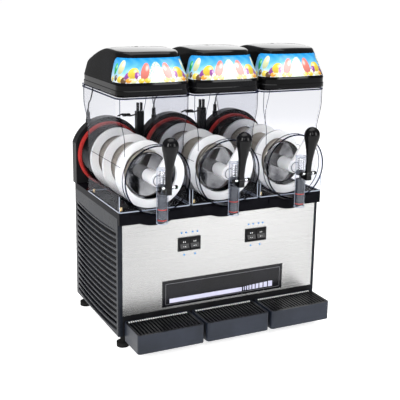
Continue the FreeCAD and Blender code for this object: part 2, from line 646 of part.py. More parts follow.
def mains_inlet():
    back = "cabinet_depth"
    barrel = rod("gland_barrel", "gland_radius - 3.2", "22", ("gland_x", f"{back} - 8", "gland_z"), "y")
    collar = rod("gland_collar", "gland_radius", "9", ("gland_x", f"{back} + 2", "gland_z"), "y")
    nut = rod("gland_nut", "gland_radius", "5", ("gland_x", f"{back} - 5", "gland_z"), "y")
    bore = rod("gland_way", "gland_bore", "30", ("gland_x", f"{back} - 12", "gland_z"), "y")
    node("mains_inlet", cut("gland", fuse("gland_solid", [barrel, collar, nut]), [bore]))


# ================================================================ freezing units
def evaporator_drum(tag, x):
    """A stainless freezing cylinder, closed at the front, with a tube for the drive shaft."""
    body = new_body(f"drum_{tag}")
    half = sketch_on(body, f"drum_profile_{tag}", "XY_Plane")
    inner = "drum_radius - drum_wall"
    tube = "shaft_radius + shaft_fit"
    outline(half, [(tube, "drum_front"), ("drum_radius - 5", "drum_front"), ("drum_radius", "drum_front + 5"),
                   ("drum_radius", "drum_end"), (inner, "drum_end"), (inner, "drum_front + drum_wall"),
                   (f"{tube} + 4", "drum_front + drum_wall"), (f"{tube} + 4", "drum_end"),
                   (tube, "drum_end")],
            {1: "5"})
    turn = body.newObject("PartDesign::Revolution", f"drum_turn_{tag}")
    turn.Profile = half
    turn.ReferenceAxis = (half, ["V_Axis"])
    turn.Angle = 360
    place(body, (x, deep("0"), "bowl_axis"))
    node(f"evaporator_drum_{tag}", body)


def auger(tag, x):
    """A moulded helical blade round the drum, joined by an arm at the front to its hub."""
    body = new_body(f"auger_{tag}_moulding")
    section = sketch_on(body, f"blade_section_{tag}", "XZ_Plane")
    rectangle(section, ("blade_root", "blade_tip"), ("0", "blade_thick"))
    doc.recompute()
    blade = body.newObject("PartDesign::AdditiveHelix", f"blade_{tag}")
    blade.Profile = section
    blade.ReferenceAxis = (section, ["V_Axis"])
    blade.Mode = "pitch-height-angle"
    bind(blade, "Pitch", "blade_pitch")
    bind(blade, "Height", "blade_pitch * blade_turns")
    arm = sketch_on(body, f"arm_plan_{tag}", "XY_Plane")
    outline(arm, [("10", "-9"), ("blade_tip - 4", "0"), ("blade_tip - 5", "13"), ("10", "12")])
    pad(body, arm, "blade_thick")
    hub = sketch_on(body, f"hub_plan_{tag}", "XY_Plane", "-1")
    circle(hub, "0", "0", "hub_radius")
    pad(body, hub, "hub_length + 1")
    nose = sketch_on(body, f"nose_plan_{tag}", "XY_Plane", "-5.5")
    circle(nose, "0", "0", "nose_pin")
    pad(body, nose, "6")
    bore = sketch_on(body, f"hub_bore_{tag}", "XY_Plane", "6")
    circle(bore, "0", "0", "shaft_radius + shaft_fit")
    pocket(body, bore, "hub_length", True)
    along_y = FreeCAD.Rotation(V(1, 0, 0), -90)
    start = FreeCAD.Rotation(V(0, 0, 1), -value("blade_start"))
    body.Placement = FreeCAD.Placement(V(), along_y.multiply(start))
    place(body, (x, deep("blade_front"), "bowl_axis"))
    node(f"auger_{tag}", body)
    node(f"drive_shaft_{tag}", rod(f"shaft_{tag}", "shaft_radius", "bulkhead_front + 20 - blade_front - 8",
                                   (x, "blade_front + 8", "bowl_axis"), "y"))


def gearmotors():
    motors = []
    for tag, i in STATIONS:
        x = f"{i} * bowl_pitch"
        face = "bulkhead_front + gear_gap"
        case = box(f"gear_case_{tag}", (f"{x} - gear_half", f"{x} + gear_half"),
                   (face, f"{face} + gear_thick"),
                   ("bowl_axis - gear_low", "bowl_axis + gear_high"))
        can = rod(f"gear_motor_{tag}", "motor_radius", "motor_length",
                  (x, f"{face} + gear_thick", "bowl_axis - motor_drop"), "y")
        bore = rod(f"gear_bore_{tag}", "shaft_radius + shaft_fit", "30",
                   (x, "bulkhead_front - 8", "bowl_axis"), "y")
        motors.append(cut(f"gearmotor_{tag}", fuse(f"gear_solid_{tag}", [case, can]), [bore]))
    node("auger_gearmotors", group("gearmotors", motors))


def bowl_gaskets():
    rings = []
    for tag, i in STATIONS:
        x = f"{i} * bowl_pitch"
        span = ("trough_end + 0.3", "bulkhead_front - trough_end - 0.3")
        disc = rod(f"gasket_disc_{tag}", "gasket_radius", span[1], (x, span[0], "bowl_axis"), "y")
        hole = rod(f"gasket_hole_{tag}", "gasket_bore", span[1], (x, span[0], "bowl_axis"), "y")
        rings.append(cut(f"gasket_{tag}", disc, [hole]))
    node("bowl_gaskets", group("gaskets", rings))


def lamp_sockets():
    """Sockets on the bays for the lid lamps, and a two-pronged post in each valley."""
    solids = []
    for tag, i in STATIONS:
        x = f"{i} * bowl_pitch + socket_offset"
        boss = rod(f"socket_{tag}_boss", "7", "20", (x, "lead_y", "arch_axis + 79"), "z")
        bay = arches(f"socket_{tag}_bay", "bulkhead_front", "bulkhead_rear", "0")
        solids.append(cut(f"socket_{tag}", boss, [bay]))
    for number, side in enumerate(("-1", "1")):
        x = f"{side} * bowl_pitch / 2"
        parts = [box(f"post_{number}", (f"{x} - 11", f"{x} + 11"), ("338", "356"), ("arch_axis + 14", "565"))]
        for prong, dx in enumerate(("-8", "3")):
            parts.append(box(f"prong_{number}{prong}", (f"{x} + {dx}", f"{x} + {dx} + 5"), ("342", "352"),
                             ("565", "590")))
        bay = arches(f"junction_{number}_bay", "bulkhead_front", "bulkhead_rear", "0")
        solids.append(cut(f"junction_{number}", fuse(f"junction_{number}_solid", parts), [bay]))
        route = ((-11.2, "556"), (-30, "552"), (-52, "560"), (-68, "arch_axis + 101"))
        solids.append(pipe(f"feed_lead_{number}", [(f"{x} + {dx}", "lead_y", z) for dx, z in route], 2.2, 14))
    node("lamp_sockets", group("sockets", solids))


# ================================================================ bowls
def hopper_sections(body, tag, inset, top, part):
    """Round-cornered plan sections of the hopper, from the trough's axis to the rim."""
    levels = [("bowl_axis", "waist_half")]
    for step in range(FLARE_STEPS + 1):
        rise = step / FLARE_STEPS
        ease = rise * rise * (3 - 2 * rise)
        levels.append((f"waist_z + {rise} * (flare_z - waist_z)",
                       f"(waist_half + {ease} * (hopper_half - waist_half))"))
    levels.append((top, "hopper_half"))
    sections = []
    for number, (z, half) in enumerate(levels):
        section = sketch_on(body, f"{part}_{tag}_{number}", "XY_Plane", z)
        rounded(section, (f"{inset} - {half}", f"{half} - {inset}"),
                (f"hopper_front + {inset}", f"hopper_rear - {inset}"), f"(hopper_corner - {inset})")
        sections.append(section)
    return sections


def bowl(tag, x):
    """A clear tank: trough, hopper, foot skirt and the upright tube of its tap, in one moulding."""
    body = new_body(f"bowl_{tag}_moulding")
    skirt = sketch_on(body, f"skirt_{tag}", "XY_Plane", "deck_top + 0.4")
    rectangle(skirt, ("-skirt_half", "skirt_half"), ("skirt_front", "skirt_back"))
    pad(body, skirt, "skirt_top - deck_top - 0.4")
    well = sketch_on(body, f"skirt_well_{tag}", "XY_Plane", "deck_top")
    rectangle(well, ("bowl_wall - skirt_half", "skirt_half - bowl_wall"),
              ("skirt_front + bowl_wall", "skirt_back - bowl_wall"))
    pocket(body, well, "skirt_top - deck_top + 5", True)
    trough = sketch_on(body, f"trough_{tag}", "XZ_Plane", "-nose_y")
    circle(trough, "0", "bowl_axis", "trough_radius")
    pad(body, trough, "trough_end - nose_y", True)

    outside = hopper_sections(body, tag, "0", "bowl_top", "hopper")
    walls = body.newObject("PartDesign::AdditiveLoft", f"hopper_{tag}_walls")
    walls.Profile = outside[0]
    walls.Sections = outside[1:]
    walls.Ruled = True
    band = sketch_on(body, f"lip_band_{tag}", "XY_Plane", "bowl_top - lip_band")
    rounded(band, ("-hopper_half - 1.5", "hopper_half + 1.5"), ("hopper_front - 1.5", "hopper_rear + 1.5"),
            "hopper_corner")
    pad(body, band, "lip_band")

    tube = sketch_on(body, f"tube_{tag}", "XY_Plane", "tube_bottom")
    circle(tube, "0", "tube_y", "tube_radius")
    pad(body, tube, "tube_top - tube_bottom")
    web = sketch_on(body, f"web_{tag}", "XY_Plane", "bowl_axis - trough_radius + 2")
    rectangle(web, ("-11", "11"), ("tube_y", "nose_y + 2"))
    pad(body, web, "36")
    ears = sketch_on(body, f"ears_{tag}", "YZ_Plane", "-ear_outer")
    low, high = "pivot_z - ear_radius", "pivot_z + ear_radius"
    outline(ears, [("tube_y", low), ("tube_y", high), ("pivot_y", high), ("pivot_y - ear_radius", "pivot_z"),
                   ("pivot_y", low)], {2: "-ear_radius", 3: "-ear_radius"})
    pad(body, ears, "2 * ear_outer")

    hollow = sketch_on(body, f"trough_hollow_{tag}", "XZ_Plane", "-(nose_y + nose_wall)")
    circle(hollow, "0", "bowl_axis", "trough_radius - bowl_wall")
    pocket(body, hollow, "trough_end - nose_y", False)
    inside = hopper_sections(body, tag, "bowl_wall", "bowl_top + 1", "hollow")
    space = body.newObject("PartDesign::SubtractiveLoft", f"hollow_{tag}_space")
    space.Profile = inside[0]
    space.Sections = inside[1:]
    space.Ruled = True
    bore = sketch_on(body, f"tube_bore_{tag}", "XY_Plane", "tube_bottom - 1")
    circle(bore, "0", "tube_y", "tube_bore")
    pocket(body, bore, "tube_top - tube_bottom - 2", True)
    fork = sketch_on(body, f"ear_gap_{tag}", "YZ_Plane", "-ear_inner")
    rectangle(fork, ("pivot_y - ear_radius - 1", "tube_y - tube_bore + 4"),
              ("plug_top + 2", "pivot_z + ear_radius + 1"))
    pocket(body, fork, "2 * ear_inner", True)
    eye = sketch_on(body, f"pin_eye_{tag}", "YZ_Plane", "-ear_outer - 1")
    circle(eye, "pivot_y", "pivot_z", "pin_radius + shaft_fit")
    pocket(body, eye, "2 * ear_outer + 2", True)
    outlet = sketch_on(body, f"outlet_{tag}", "XZ_Plane", "-tube_y")
    circle(outlet, "0", "bowl_axis - trough_radius + bowl_wall + 8", "7")
    pocket(body, outlet, "nose_y - tube_y + nose_wall + 1", False)
    bush = sketch_on(body, f"bush_{tag}", "XZ_Plane", "-(nose_y + nose_wall)")
    circle(bush, "0", "bowl_axis", "bush_radius")
    circle(bush, "0", "bowl_axis", "nose_pin + 0.5")
    pad(body, bush, "4", True)
    place(body, (x, deep("0"), "0"))
    node(f"bowl_{tag}", body)


# ================================================================ taps
def tap_pin(tag, x):
    shank = rod(f"pin_shank_{tag}", "pin_radius", "40", (f"{x} - 20", "pivot_y", "pivot_z"), "x")
    caps = [rod(f"pin_cap_{tag}_{i}", "5", "7", (f"{x} + {dx}", "pivot_y", "pivot_z"), "x")
            for i, dx in enumerate(("-25", "18"))]
    node(f"tap_pin_{tag}", fuse(f"pin_{tag}", [shank] + caps))


def tap_lever(tag, x):
    """A teardrop handle on a boss, with a finger that lifts the valve piston."""
    body = new_body(f"lever_{tag}_grip")
    half = sketch_on(body, f"grip_profile_{tag}", "XZ_Plane")
    outline(half, [("0", "3"), ("7.5", "3"), ("8.2", "32"), ("17.5", "88"), ("lever_head", "104"),
                   ("11", "124"), ("3", "lever_length"), ("0", "lever_length")],
            {2: "-300", 3: "48", 4: "22", 5: "26"})
    turn = body.newObject("PartDesign::Revolution", f"grip_turn_{tag}")
    turn.Profile = half
    turn.ReferenceAxis = (half, ["V_Axis"])
    turn.Angle = 360
    body.Placement = FreeCAD.Placement(V(), FreeCAD.Rotation(V(1, 0, 0), value("lever_tilt")))
    place(body, (x, deep("pivot_y"), "pivot_z"))
    boss = rod(f"boss_{tag}", "8", "15", (f"{x} - 7.5", "pivot_y", "pivot_z"), "x")
    foot = box(f"foot_{tag}", (f"{x} - 7.5", f"{x} + 7.5"), ("pivot_y - 6", "pivot_y + 7"),
               ("pivot_z - 18", "pivot_z"))
    finger = box(f"finger_{tag}", (f"{x} - 5", f"{x} + 5"), ("pivot_y", "pivot_y + 26"),
                 ("pivot_z - 18", "pivot_z - 12"))
    bore = rod(f"lever_bore_{tag}", "pin_radius + shaft_fit", "60", (f"{x} - 30", "pivot_y", "pivot_z"), "x")
    solid = fuse(f"lever_solid_{tag}", [body, boss, foot, finger])
    node(f"tap_lever_{tag}", cut(f"lever_{tag}", solid, [bore]))


def tap_piston(tag, x):
    """The valve piston: a plug with two seal grooves and shallow ribs, a waist and a collar."""
    body = new_body(f"piston_{tag}_turned")
    half = sketch_on(body, f"piston_profile_{tag}", "XZ_Plane")
    corners = [("0", "plug_bottom"), ("piston_radius", "plug_bottom")]
    grooves = [("plug_bottom + 2.5", "3.2"), ("plug_bottom + 30", "3.2")]
    ribs = [(f"plug_bottom + {38 + 8 * i}", "3") for i in range(4)]
    for low, tall in grooves + ribs:
        corners += [("piston_radius", low), ("piston_radius - 1.5", low),
                    ("piston_radius - 1.5", f"{low} + {tall}"), ("piston_radius", f"{low} + {tall}")]
    corners += [("piston_radius", "plug_top"), ("3.2", "plug_top"), ("3.2", "collar_bottom"),
                ("piston_radius", "collar_bottom"), ("piston_radius", "collar_top"), ("5", "collar_top"),
                ("5", "collar_top + 4"), ("0", "collar_top + 4")]
    outline(half, corners)
    turn = body.newObject("PartDesign::Revolution", f"piston_turn_{tag}")
    turn.Profile = half
    turn.ReferenceAxis = (half, ["V_Axis"])
    turn.Angle = 360
    place(body, (x, deep("tube_y"), "0"))
    node(f"tap_piston_{tag}", body)


def tap_spring(tag, x):
    body = new_body(f"spring_{tag}_coil")
    wire = sketch_on(body, f"spring_wire_{tag}", "XZ_Plane")
    circle(wire, "spring_radius", "collar_top + spring_wire + 0.2", "spring_wire")
    doc.recompute()
    coil = body.newObject("PartDesign::AdditiveHelix", f"spring_helix_{tag}")
    coil.Profile = wire
    coil.ReferenceAxis = (wire, ["V_Axis"])
    coil.Mode = "pitch-height-angle"
    bind(coil, "Height", "tube_top - 3 - collar_top - 2 * spring_wire - 0.5")
    bind(coil, "Pitch", "(tube_top - 3 - collar_top - 2 * spring_wire - 0.5) / 6")
    place(body, (x, deep("tube_y"), "0"))
    node(f"tap_spring_{tag}", body)


# ================================================================ lids
def lid_taper(name, inset, low="rim_top"):
    """The lid's tapering upper walls, drawn in from the outside by an inset."""
    base = free_sketch(name + "_base", low)
    rounded(base, (f"{inset} - hopper_half", f"hopper_half - {inset}"),
            (deep(f"lid_front + {inset}"), deep(f"lid_rear - {inset}")), f"(lid_corner - {inset})")
    crown = free_sketch(name + "_crown", "crown_z")
    rounded(crown, (f"{inset} - crown_half", f"crown_half - {inset}"),
            (deep(f"crown_front + {inset}"), deep(f"crown_rear - {inset}")), f"(crown_corner - {inset})")
    return loft(name, [base, crown])


def lid_profile(name, inset):
    """Everything under the lid's curved roof, seen from the side, drawn down by an inset."""
    side = doc.addObject("Sketcher::SketchObject", name + "_side")
    side.Placement = FreeCAD.Placement(V(-120, 0, 0), FreeCAD.Rotation(V(1, 1, 1), 120))
    outline(side, [(deep("lid_rear + 20"), "rim_top - 30"), (deep("lid_rear + 20"), f"rim_top + 6 - {inset}"),
                   (deep("roof_break"), f"roof_rear - {inset}"), (deep("ridge_y"), f"roof_ridge - {inset}"),
                   (deep("crown_front"), f"roof_front - {inset}"),
                   (deep("lid_front - 20"), f"roof_front - 8 - {inset}"),
                   (deep("lid_front - 20"), "rim_top - 30")],
            {2: "330", 3: "900"})
    return extrude(name, side, V(1, 0, 0), "240")


def rim_prism(name, grow, low, high):
    plan = free_sketch(name + "_plan", low)
    rounded(plan, (f"-hopper_half - {grow}", f"hopper_half + {grow}"),
            (deep(f"lid_front - {grow}"), deep(f"lid_rear + {grow}")), f"(lid_corner + {grow})")
    return extrude(name, plan, V(0, 0, 1), f"({high}) - ({low})")


def spigot_prism(name, gap, low, high):
    """The lid's locating ring, a gap inside the bowl's upper walls."""
    plan = free_sketch(name + "_plan", low)
    half = f"(hopper_half - bowl_wall - {gap})"
    rounded(plan, (f"-{half}", half),
            (deep(f"hopper_front + bowl_wall + {gap}"), deep(f"hopper_rear - bowl_wall - {gap}")),
            f"(hopper_corner - bowl_wall - {gap})")
    return extrude(name, plan, V(0, 0, 1), f"({high}) - ({low})")


def lid_window_prism(name, grow):
    """The glowing window's outline from the side: it runs round the front, with round rear ends."""
    side = doc.addObject("Sketcher::SketchObject", name + "_side")
    side.Placement = FreeCAD.Placement(V(-120, 0, 0), FreeCAD.Rotation(V(1, 1, 1), 120))
    low, high, corner = f"window_low - {grow}", f"window_high + {grow}", "window_corner"
    rear = deep(f"window_end + {grow}")
    outline(side, [(deep("lid_front - 20"), low), (f"{rear} - {corner}", low), (rear, f"{low} + {corner}"),
                   (rear, f"{high} - {corner}"), (f"{rear} - {corner}", high),
                   (deep("lid_front - 20"), high)],
            {1: corner, 3: corner})
    return extrude(name, side, V(1, 0, 0), "240")


def lid(tag, x):
    """A hollow black hood with a floor, a window round its front and the lead of its lamp."""
    outer = common(f"hood_outside_{tag}", lid_taper(f"taper_{tag}", "0"), lid_profile(f"roof_{tag}", "0"))
    inner = common(f"hood_inside_{tag}", lid_taper(f"hollow_taper_{tag}", "lid_wall", "rim_top - 0.01"),
                   lid_profile(f"hollow_roof_{tag}", "lid_wall"))
    rim = [rim_prism(f"rim_low_{tag}", "rim_out", "bowl_top", "rim_step"),
           rim_prism(f"rim_high_{tag}", "-rim_out", "rim_step", "rim_top"),
           spigot_prism(f"spigot_{tag}", "spigot_gap", "bowl_top - 6", "bowl_top + 1")]
    cavity = rim_prism(f"rim_hollow_{tag}", "-lid_wall - rim_out", "bowl_top + lid_wall", "rim_top")
    under = spigot_prism(f"spigot_hollow_{tag}", "spigot_gap + spigot_wall", "bowl_top - 7", "bowl_top")
    hood = cut(f"hood_{tag}", fuse(f"hood_solid_{tag}", [outer] + rim),
               [inner, cavity, under, lid_window_prism(f"aperture_{tag}", "0")])
    pip = rod(f"pip_{tag}", "5", "4", ("0", "ridge_y - 10", "roof_ridge - 2"))
    route = (("lid_rear - 1", "681"), ("296", "676"), ("305", "640"), ("330", "612"), ("lead_y", "598"),
             ("lead_y", "575"))
    lead = pipe(f"lamp_lead_{tag}", [("socket_offset", y, z) for y, z in route], 1.8, 7)
    plug = rod(f"lamp_plug_{tag}", "5.5", "24", ("socket_offset", "lead_y", "arch_axis + 99.3"))
    whole = fuse(f"hood_whole_{tag}", [hood, pip, fuse(f"lead_{tag}", [lead, plug])])
    bind(whole, ".Placement.Base.x", x)
    node(f"lid_{tag}", whole)

    shell = cut(f"window_shell_{tag}", lid_taper(f"window_out_{tag}", "pane_sunk"),
                [lid_taper(f"window_in_{tag}", "(pane_sunk + pane_thick)", "rim_top - 1")])
    pane = common(f"window_{tag}", shell, lid_window_prism(f"pane_{tag}", "-0.1"))
    bind(pane, ".Placement.Base.x", x)
    node(f"lid_window_{tag}", pane)


# ================================================================ drip trays
def drip_tray(tag, x):
    body = new_body(f"tray_{tag}_moulding")
    half = "tray_width / 2"
    plan = sketch_on(body, f"tray_plan_{tag}", "XY_Plane", "tray_bottom")
    rounded(plan, (f"-{half}", half), ("tray_front", "tray_back"), "tray_corner")
    pad(body, plan, "tray_top - tray_bottom")
    seat = sketch_on(body, f"tray_seat_{tag}", "XY_Plane", "tray_top - grille_thick - 0.5")
    rounded(seat, (f"tray_ledge - {half}", f"{half} - tray_ledge"),
            ("tray_front + tray_ledge", "tray_back - tray_ledge"), "(tray_corner - tray_ledge)")
    pocket(body, seat, "grille_thick + 2", True)
    well = sketch_on(body, f"tray_well_{tag}", "XY_Plane", "tray_bottom + 3")
    rounded(well, (f"tray_wall - {half}", f"{half} - tray_wall"),
            ("tray_front + tray_wall", "tray_back - tray_wall"), "(tray_corner - tray_wall)")
    pocket(body, well, "tray_top - tray_bottom", True)
    place(body, (x, deep("0"), "0"))
    node(f"drip_tray_{tag}", body)


def drip_grille(tag, x):
    body = new_body(f"grille_{tag}_plate")
    half = "(tray_width / 2 - tray_ledge - 0.4)"
    plan = sketch_on(body, f"grille_plan_{tag}", "XY_Plane", "tray_top - grille_thick - 0.5")
    rounded(plan, (f"-{half}", half), ("tray_front + tray_ledge + 0.4", "tray_back - tray_ledge - 0.4"),
            "(tray_corner - tray_ledge - 0.4)")
    pad(body, plan, "grille_thick")
    length = "grille_pitch * (grille_slots - 1)"
    slot = sketch_on(body, f"grille_slot_{tag}", "XY_Plane", "tray_top - grille_thick - 1")
    rectangle(slot, (f"-{length} / 2 - grille_gap / 2", f"grille_gap / 2 - {length} / 2"),
              ("tray_front + 9", "tray_back - 16"))
    first = pocket(body, slot, "grille_thick + 2", True)
    repeat(body, first, "X_Axis", length, "grille_slots")
    small = sketch_on(body, f"grille_small_{tag}", "XY_Plane", "tray_top - grille_thick - 1")
    rectangle(small, (f"-{length} / 2 - 1.7", f"1.7 - {length} / 2"), ("tray_back - 11.5", "tray_back - 6"))
    dot = pocket(body, small, "grille_thick + 2", True)
    repeat(body, dot, "X_Axis", length, "27")
    place(body, (x, deep("0"), "0"))
    node(f"drip_grille_{tag}", body)


# ================================================================ assembly
levelling_feet()
chassis_base()
front_panel()
side_panel("left", "-1")
side_panel("right", "1")
top_deck()
rear_bulkhead()
rear_panel()
badge_plate()
switches()
compressor()
condenser()
fan()
refrigerant_lines()
control_box()
mains_inlet()
gearmotors()
bowl_gaskets()
lamp_sockets()
for station, number in STATIONS:
    middle = f"{number} * bowl_pitch"
    evaporator_drum(station, middle)
    auger(station, middle)
    bowl(station, middle)
    tap_pin(station, middle)
    tap_lever(station, middle)
    tap_piston(station, middle)
    tap_spring(station, middle)
    lid(station, middle)
    drip_tray(station, f"{number} * tray_pitch")
    drip_grille(station, f"{number} * tray_pitch")

# ---------------------------------------------------------------- check and write
doc.recompute()
for item in doc.Objects:
    if "Invalid" in item.State or "Error" in item.State:
        raise RuntimeError(f"{item.Name} failed: {item.State}")
for name, item in NODES.items():
    if item.Shape.isNull() or not item.Shape.isValid() or not item.Shape.Solids:
        raise RuntimeError(f"{name} has no sound shape")
for name, item in NODES.items():
    item.Shape.exportStep(f"parts/{name}.step")
    print(f"{name:28s} solids {len(item.Shape.Solids)}  volume {item.Shape.Volume / 1000:9.2f} cm3")
print(len(NODES), "nodes")
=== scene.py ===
import bpy
import bmesh
import math
from mathutils import Matrix, Vector


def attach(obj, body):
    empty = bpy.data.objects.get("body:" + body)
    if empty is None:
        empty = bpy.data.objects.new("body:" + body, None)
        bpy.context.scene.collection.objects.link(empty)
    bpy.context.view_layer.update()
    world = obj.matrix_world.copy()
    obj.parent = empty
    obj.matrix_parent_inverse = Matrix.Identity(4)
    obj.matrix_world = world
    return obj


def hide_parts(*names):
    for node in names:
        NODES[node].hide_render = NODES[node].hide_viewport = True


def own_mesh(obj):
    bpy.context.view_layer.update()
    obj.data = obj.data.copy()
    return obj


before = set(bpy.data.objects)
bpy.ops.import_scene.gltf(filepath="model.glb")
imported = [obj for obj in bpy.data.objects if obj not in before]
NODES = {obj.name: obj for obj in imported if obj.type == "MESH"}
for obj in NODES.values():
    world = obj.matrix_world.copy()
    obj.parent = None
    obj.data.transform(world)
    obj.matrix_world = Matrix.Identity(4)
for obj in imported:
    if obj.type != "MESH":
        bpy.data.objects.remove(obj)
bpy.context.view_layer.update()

# Looks for the triple-bowl slush machine: metres, +Y to the rear, +Z up, origin on the floor.
MM = 0.001
STATIONS = (("left", -1), ("centre", 0), ("right", 1))
BOWL_PITCH = 202.3 * MM
TRAY_PITCH = 193.3 * MM
FRONT_Y = -126.5 * MM


def deep(y):
    """A depth in millimetres behind the front panel, as a Y in metres."""
    return FRONT_Y + y * MM


# ---------------------------------------------------------------- materials
def shader(name):
    """A new node material, its tree and its main shader."""
    material = bpy.data.materials.new(name)
    material.use_nodes = True
    tree = material.node_tree
    return material, tree, tree.nodes["Principled BSDF"]


def setting(bsdf, **values):
    """Sets uniform values of the main shader by short names."""
    names = {"color": "Base Color", "metal": "Metallic", "rough": "Roughness", "coat": "Coat Weight",
             "coat_rough": "Coat Roughness", "aniso": "Anisotropic", "specular": "Specular IOR Level",
             "glow": "Emission Strength", "glow_color": "Emission Color", "skin": "Subsurface Weight"}
    for key, value in values.items():
        bsdf.inputs[names[key]].default_value = (*value, 1) if isinstance(value, tuple) else value


def noise(tree, scale, stretch=(1, 1, 1), detail=3, rough=0.55):
    """Noise over the object's own coordinates, in metres."""
    where = tree.nodes.new("ShaderNodeTexCoord")
    mapping = tree.nodes.new("ShaderNodeMapping")
    mapping.inputs["Scale"].default_value = stretch
    texture = tree.nodes.new("ShaderNodeTexNoise")
    texture.inputs["Scale"].default_value = scale
    texture.inputs["Detail"].default_value = detail
    texture.inputs["Roughness"].default_value = rough
    tree.links.new(where.outputs["Object"], mapping.inputs["Vector"])
    tree.links.new(mapping.outputs["Vector"], texture.inputs["Vector"])
    return texture.outputs["Fac"]


def spread(tree, value, low, high, start=0.3, end=0.7):
    """A value remapped from start..end to low..high."""
    remap = tree.nodes.new("ShaderNodeMapRange")
    for name, number in (("From Min", start), ("From Max", end), ("To Min", low), ("To Max", high)):
        remap.inputs[name].default_value = number
    tree.links.new(value, remap.inputs["Value"])
    return remap.outputs["Result"]


def blend_colors(tree, factor, low, high):
    """A colour between two colours or sockets."""
    mix = tree.nodes.new("ShaderNodeMix")
    mix.data_type = "RGBA"
    for socket, color in ((mix.inputs[6], low), (mix.inputs[7], high)):
        if isinstance(color, tuple):
            socket.default_value = (*color, 1)
        else:
            tree.links.new(color, socket)
    if isinstance(factor, float):
        mix.inputs[0].default_value = factor
    else:
        tree.links.new(factor, mix.inputs[0])
    return mix.outputs[2]


def bump(tree, bsdf, height, strength, distance):
    node = tree.nodes.new("ShaderNodeBump")
    node.inputs["Strength"].default_value = strength
    node.inputs["Distance"].default_value = distance
    tree.links.new(height, node.inputs["Height"])
    tree.links.new(node.outputs["Normal"], bsdf.inputs["Normal"])


def brushed(name, low, high, rough, stretch, scratch=0.05, aniso=0.0):
    """Metal brushed along the axis whose stretch is small; aniso draws its highlights out one way."""
    material, tree, bsdf = shader(name)
    setting(bsdf, metal=1.0, aniso=aniso)
    if aniso:
        along = tree.nodes.new("ShaderNodeTangent")
        along.direction_type = "RADIAL"
        along.axis = "Z"
        tree.links.new(along.outputs["Tangent"], bsdf.inputs["Tangent"])
        bsdf.inputs["Anisotropic Rotation"].default_value = 0.25
    fine = noise(tree, 1, stretch, 4, 0.6)
    broad = noise(tree, 7, (1, 1, 1), 2)
    tone = tree.nodes.new("ShaderNodeMath")
    tone.operation = "MULTIPLY_ADD"
    tone.inputs[1].default_value = 0.6
    tree.links.new(fine, tone.inputs[0])
    tree.links.new(spread(tree, broad, 0.05, 0.35), tone.inputs[2])
    tree.links.new(blend_colors(tree, tone.outputs[0], low, high), bsdf.inputs["Base Color"])
    tree.links.new(spread(tree, fine, rough[0], rough[1]), bsdf.inputs["Roughness"])
    bump(tree, bsdf, fine, scratch, 0.0002)
    return material


def moulded(name, low, high, rough, grain=600, depth=0.04, coat=0.0, patch=14, **extra):
    """Moulded or painted plastic: a little tone and gloss variation over a fine grain."""
    material, tree, bsdf = shader(name)
    setting(bsdf, coat=coat, coat_rough=0.04, **extra)
    broad = noise(tree, patch, (1, 1, 1), 3)
    fine = noise(tree, grain, (1, 1, 1), 2)
    tree.links.new(blend_colors(tree, spread(tree, broad, 0.0, 1.0), low, high), bsdf.inputs["Base Color"])
    tree.links.new(spread(tree, broad, rough[0], rough[1]), bsdf.inputs["Roughness"])
    bump(tree, bsdf, fine, depth, 0.0003)
    return material


def clear_plastic(name, tint, edge, gloss=0.06):
    """Thin clear plastic: see-through face on, darker and more mirror-like at a glancing angle."""
    material, tree, bsdf = shader(name)
    tree.nodes.remove(bsdf)
    output = tree.nodes["Material Output"]
    through = tree.nodes.new("ShaderNodeBsdfTransparent")
    mirror = tree.nodes.new("ShaderNodeBsdfGlossy")
    mirror.inputs["Roughness"].default_value = gloss
    mirror.inputs["Color"].default_value = (0.92, 0.94, 1.0, 1)
    facing = tree.nodes.new("ShaderNodeLayerWeight")
    facing.inputs["Blend"].default_value = 0.5
    falloff, most_mirror = 8.0, 0.6
    smear = noise(tree, 9, (1, 1, 1), 3)
    glance = tree.nodes.new("ShaderNodeMath")
    glance.operation = "POWER"
    glance.inputs[1].default_value = falloff
    tree.links.new(facing.outputs["Facing"], glance.inputs[0])
    shade = blend_colors(tree, glance.outputs[0], tint, edge)
    tree.links.new(shade, through.inputs["Color"])
    share = tree.nodes.new("ShaderNodeMath")
    share.operation = "MULTIPLY_ADD"
    share.inputs[1].default_value = most_mirror
    tree.links.new(glance.outputs[0], share.inputs[0])
    tree.links.new(spread(tree, smear, 0.001, 0.004), share.inputs[2])
    mix = tree.nodes.new("ShaderNodeMixShader")
    tree.links.new(share.outputs[0], mix.inputs[0])
    tree.links.new(through.outputs[0], mix.inputs[1])
    tree.links.new(mirror.outputs[0], mix.inputs[2])
    tree.links.new(mix.outputs[0], output.inputs["Surface"])
    return material


def picture_film(name):
    """A backlit printed film: its colours are stored on the mesh."""
    material, tree, bsdf = shader(name)
    setting(bsdf, rough=0.12, specular=0.3, coat=0.5, coat_rough=0.02, glow=0.24)
    stored = tree.nodes.new("ShaderNodeVertexColor")
    stored.layer_name = "picture"
    grain = noise(tree, 900, (1, 1, 1), 2)
    color = blend_colors(tree, spread(tree, grain, 0.38, 0.44), stored.outputs["Color"], (0.0, 0.0, 0.0))
    tree.links.new(color, bsdf.inputs["Base Color"])
    tree.links.new(color, bsdf.inputs["Emission Color"])
    return material


